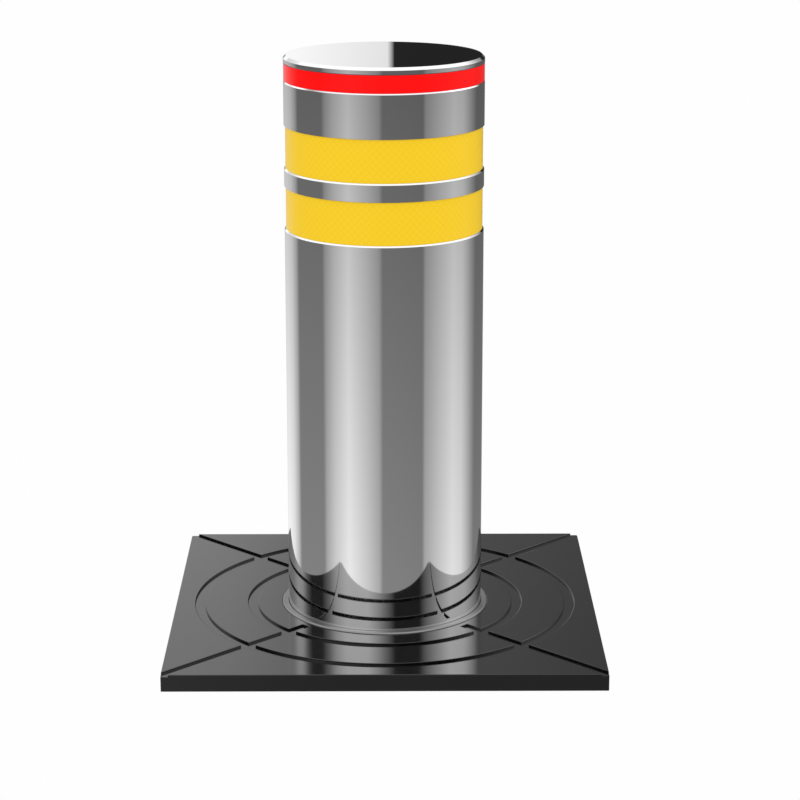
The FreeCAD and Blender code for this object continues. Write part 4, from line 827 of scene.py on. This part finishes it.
def reflective_film(tree, position):
    """Diamond cells 8 mm across, coarser than the real ones so that they show, and the joint."""
    half_cells = 172
    place = add(tree, "ShaderNodeSeparateXYZ", {0: position})
    angle = add(tree, "ShaderNodeMath", {0: place.outputs["Y"], 1: place.outputs["X"]}, operation="ARCTAN2")
    along = add(tree, "ShaderNodeMath", {0: angle.outputs[0], 1: half_cells / (2 * pi)}, operation="MULTIPLY")
    up = add(tree, "ShaderNodeMath", {0: place.outputs["Z"], 1: 1 / (4 * MM)}, operation="MULTIPLY")
    cells = []
    for lean in ("ADD", "SUBTRACT"):
        slope = add(tree, "ShaderNodeMath", {0: along.outputs[0], 1: up.outputs[0]}, operation=lean)
        cells.append(add(tree, "ShaderNodeMath", {0: slope.outputs[0], 1: 1.0}, operation="PINGPONG"))
    nearest = add(
        tree, "ShaderNodeMath", {0: cells[0].outputs[0], 1: cells[1].outputs[0]}, operation="MINIMUM"
    )
    web = add(tree, "ShaderNodeMapRange", {"Value": nearest.outputs[0], "From Min": 0.04, "From Max": 0.1})
    behind = add(tree, "ShaderNodeMath", {0: place.outputs["Y"], 1: 0.0}, operation="GREATER_THAN")
    aside = add(tree, "ShaderNodeMath", {0: place.outputs["X"]}, operation="ABSOLUTE")
    close = add(tree, "ShaderNodeMath", {0: aside.outputs[0], 1: 0.4 * MM}, operation="LESS_THAN")
    joint = add(tree, "ShaderNodeMath", {0: behind.outputs[0], 1: close.outputs[0]}, operation="MULTIPLY")
    tones = {0: web.outputs[0], 6: linear("#F3C61C"), 7: linear("#FCD122")}
    cell = add(tree, "ShaderNodeMix", tones, data_type="RGBA")
    joined = {0: joint.outputs[0], 6: cell.outputs[2], 7: linear("#9A7C18")}
    colour = add(tree, "ShaderNodeMix", joined, data_type="RGBA")
    return {"Base Color": colour.outputs[2], "Roughness": 0.28, "IOR": 1.45, "Specular IOR Level": 0.2}


def band(name, bore, low, high, rounding):
    """A flat ring with its two outside edges rounded."""
    corners = [(bore, low.z, 0), (high.x, low.z, rounding), (high.x, high.z, rounding), (bore, high.z, 0)]
    return turned(name, rounded(corners))


yellow_film = make_material("retroreflective_film", reflective_film)
for strip in ("lower", "upper"):
    node = f"reflective_strip_{strip}"
    film = band(f"film_{strip}", tube_radius - recess, *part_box(node), 0.1 * MM)
    piece(f"film_{strip}", film, yellow_film, "bollard", "reflective_film", node)

# ---- Light ring
# A diffusing red acrylic ring under the cap, with a thin rubber gasket between them. Behind it a white
# flexible board, wrapped round the cap's spigot, carries the diodes, and the ring spreads their light.


def red_acrylic(tree, position):
    """Cast acrylic coloured right through, with a faint glow. It is smooth and even, so it has no pattern."""
    return {
        "Base Color": linear("#F50808"),
        "Roughness": 0.15,
        "IOR": 1.45,
        "Specular IOR Level": 0.22,
        "Emission Color": linear("#F50404"),
        "Emission Strength": 0.15,
    }


red_lens = make_material("red_diffusing_acrylic", red_acrylic)
lens_mesh = band("light_ring_acrylic", tube_bore, *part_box("light_ring_lens"), 0.2 * MM)
piece("light_ring_acrylic", lens_mesh, red_lens, "bollard", "red_lens", "light_ring_lens")
coat(black_rubber, "lens_gasket")


def white_board(tree, position):
    """White solder mask with a slight unevenness of 1.5 mm."""
    mask = add(tree, "ShaderNodeTexNoise", {"Vector": position, "Scale": 1 / (1.5 * MM), "Detail": 2.0})
    rough = add(tree, "ShaderNodeMapRange", {"Value": mask.outputs["Fac"], "To Min": 0.35, "To Max": 0.5})
    return {"Base Color": linear("#EDEDE8"), "Roughness": rough.outputs[0]}


def diode_cap(tree, position):
    """A clear moulded cap over a red chip, which tints it."""
    glow = add(tree, "ShaderNodeTexNoise", {"Vector": position, "Scale": 1 / (2 * MM), "Detail": 1.0})
    rough = add(tree, "ShaderNodeMapRange", {"Value": glow.outputs["Fac"], "To Min": 0.1, "To Max": 0.2})
    return {"Base Color": linear("#F2D9D4"), "Roughness": rough.outputs[0], "IOR": 1.53}


coat(make_material("white_circuit_board", white_board), "light_board")
led = 5 * MM
led_body = 0.9 * MM
led_deep = 1.6 * MM
led_dome = led_deep - led_body
led_count = 36
board_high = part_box("light_board")[1]
diode_low, diode_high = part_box("light_diodes")
diode = bmesh.new()
bmesh.ops.create_cube(diode, size=1)
for vertex in diode.verts:
    vertex.co = ((vertex.co.x + 0.5) * led_body, vertex.co.y * led, vertex.co.z * led)
outwards = Matrix.Translation((led_body + led_dome / 2, 0, 0)) @ Matrix.Rotation(pi / 2, 4, "Y")
bmesh.ops.create_cone(
    diode, cap_ends=True, segments=12, radius1=0.42 * led, radius2=0.3 * led, depth=led_dome, matrix=outwards
)
clear_cap = make_material("clear_diode_cap", diode_cap)
led_height = (diode_low.z + diode_high.z) / 2
diodes = copies_round("light_diodes_round", diode, clear_cap, led_count, board_high.x, led_height)
piece("light_diodes_round", diodes, None, "bollard", "diode_lens", "light_diodes")

# ---- Top cap
# A turned stainless disc, bevelled and lapped to a mirror, that closes the head. Its spigot stands on the
# head plate, and four studs and nuts hold it down.


def mirror_cap(tree, position):
    """A true mirror, with a haze in patches of about 30 mm that hardly shows."""
    cloth = add(tree, "ShaderNodeTexNoise", {"Vector": position, "Scale": 1 / (30 * MM), "Detail": 2.0})
    rough = add(tree, "ShaderNodeMapRange", {"Value": cloth.outputs["Fac"], "To Min": 0.004, "To Max": 0.008})
    return {"Base Color": linear("#E3E3E4"), "Metallic": 1.0, "Roughness": rough.outputs[0]}


lapped_steel = make_material("lapped_stainless_steel", mirror_cap)
cap_low, cap_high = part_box("top_cap")
cap_bevel = 3 * MM
cap_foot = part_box("lens_gasket")[1].z
spigot_inset = 6.5 * MM
spigot_wall = 5 * MM
spigot_outer = tube_bore - spigot_inset
spigot_inner = spigot_outer - spigot_wall
corners = [
    (0, cap_foot, 0),
    (spigot_inner, cap_foot, 0),
    (spigot_inner, cap_low.z, 0),
    (spigot_outer, cap_low.z, 0),
    (spigot_outer, cap_foot, 0),
    (cap_high.x, cap_foot, 0.2 * MM),
    (cap_high.x, cap_high.z - cap_bevel, 0.3 * MM),
    (cap_high.x - cap_bevel, cap_high.z, 0.3 * MM),
    (0, cap_high.z, 0),
]
cap_mesh = turned("top_cap_polished", rounded(corners))
piece("top_cap_polished", cap_mesh, lapped_steel, "bollard", "cap_steel", "top_cap")

low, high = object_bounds()
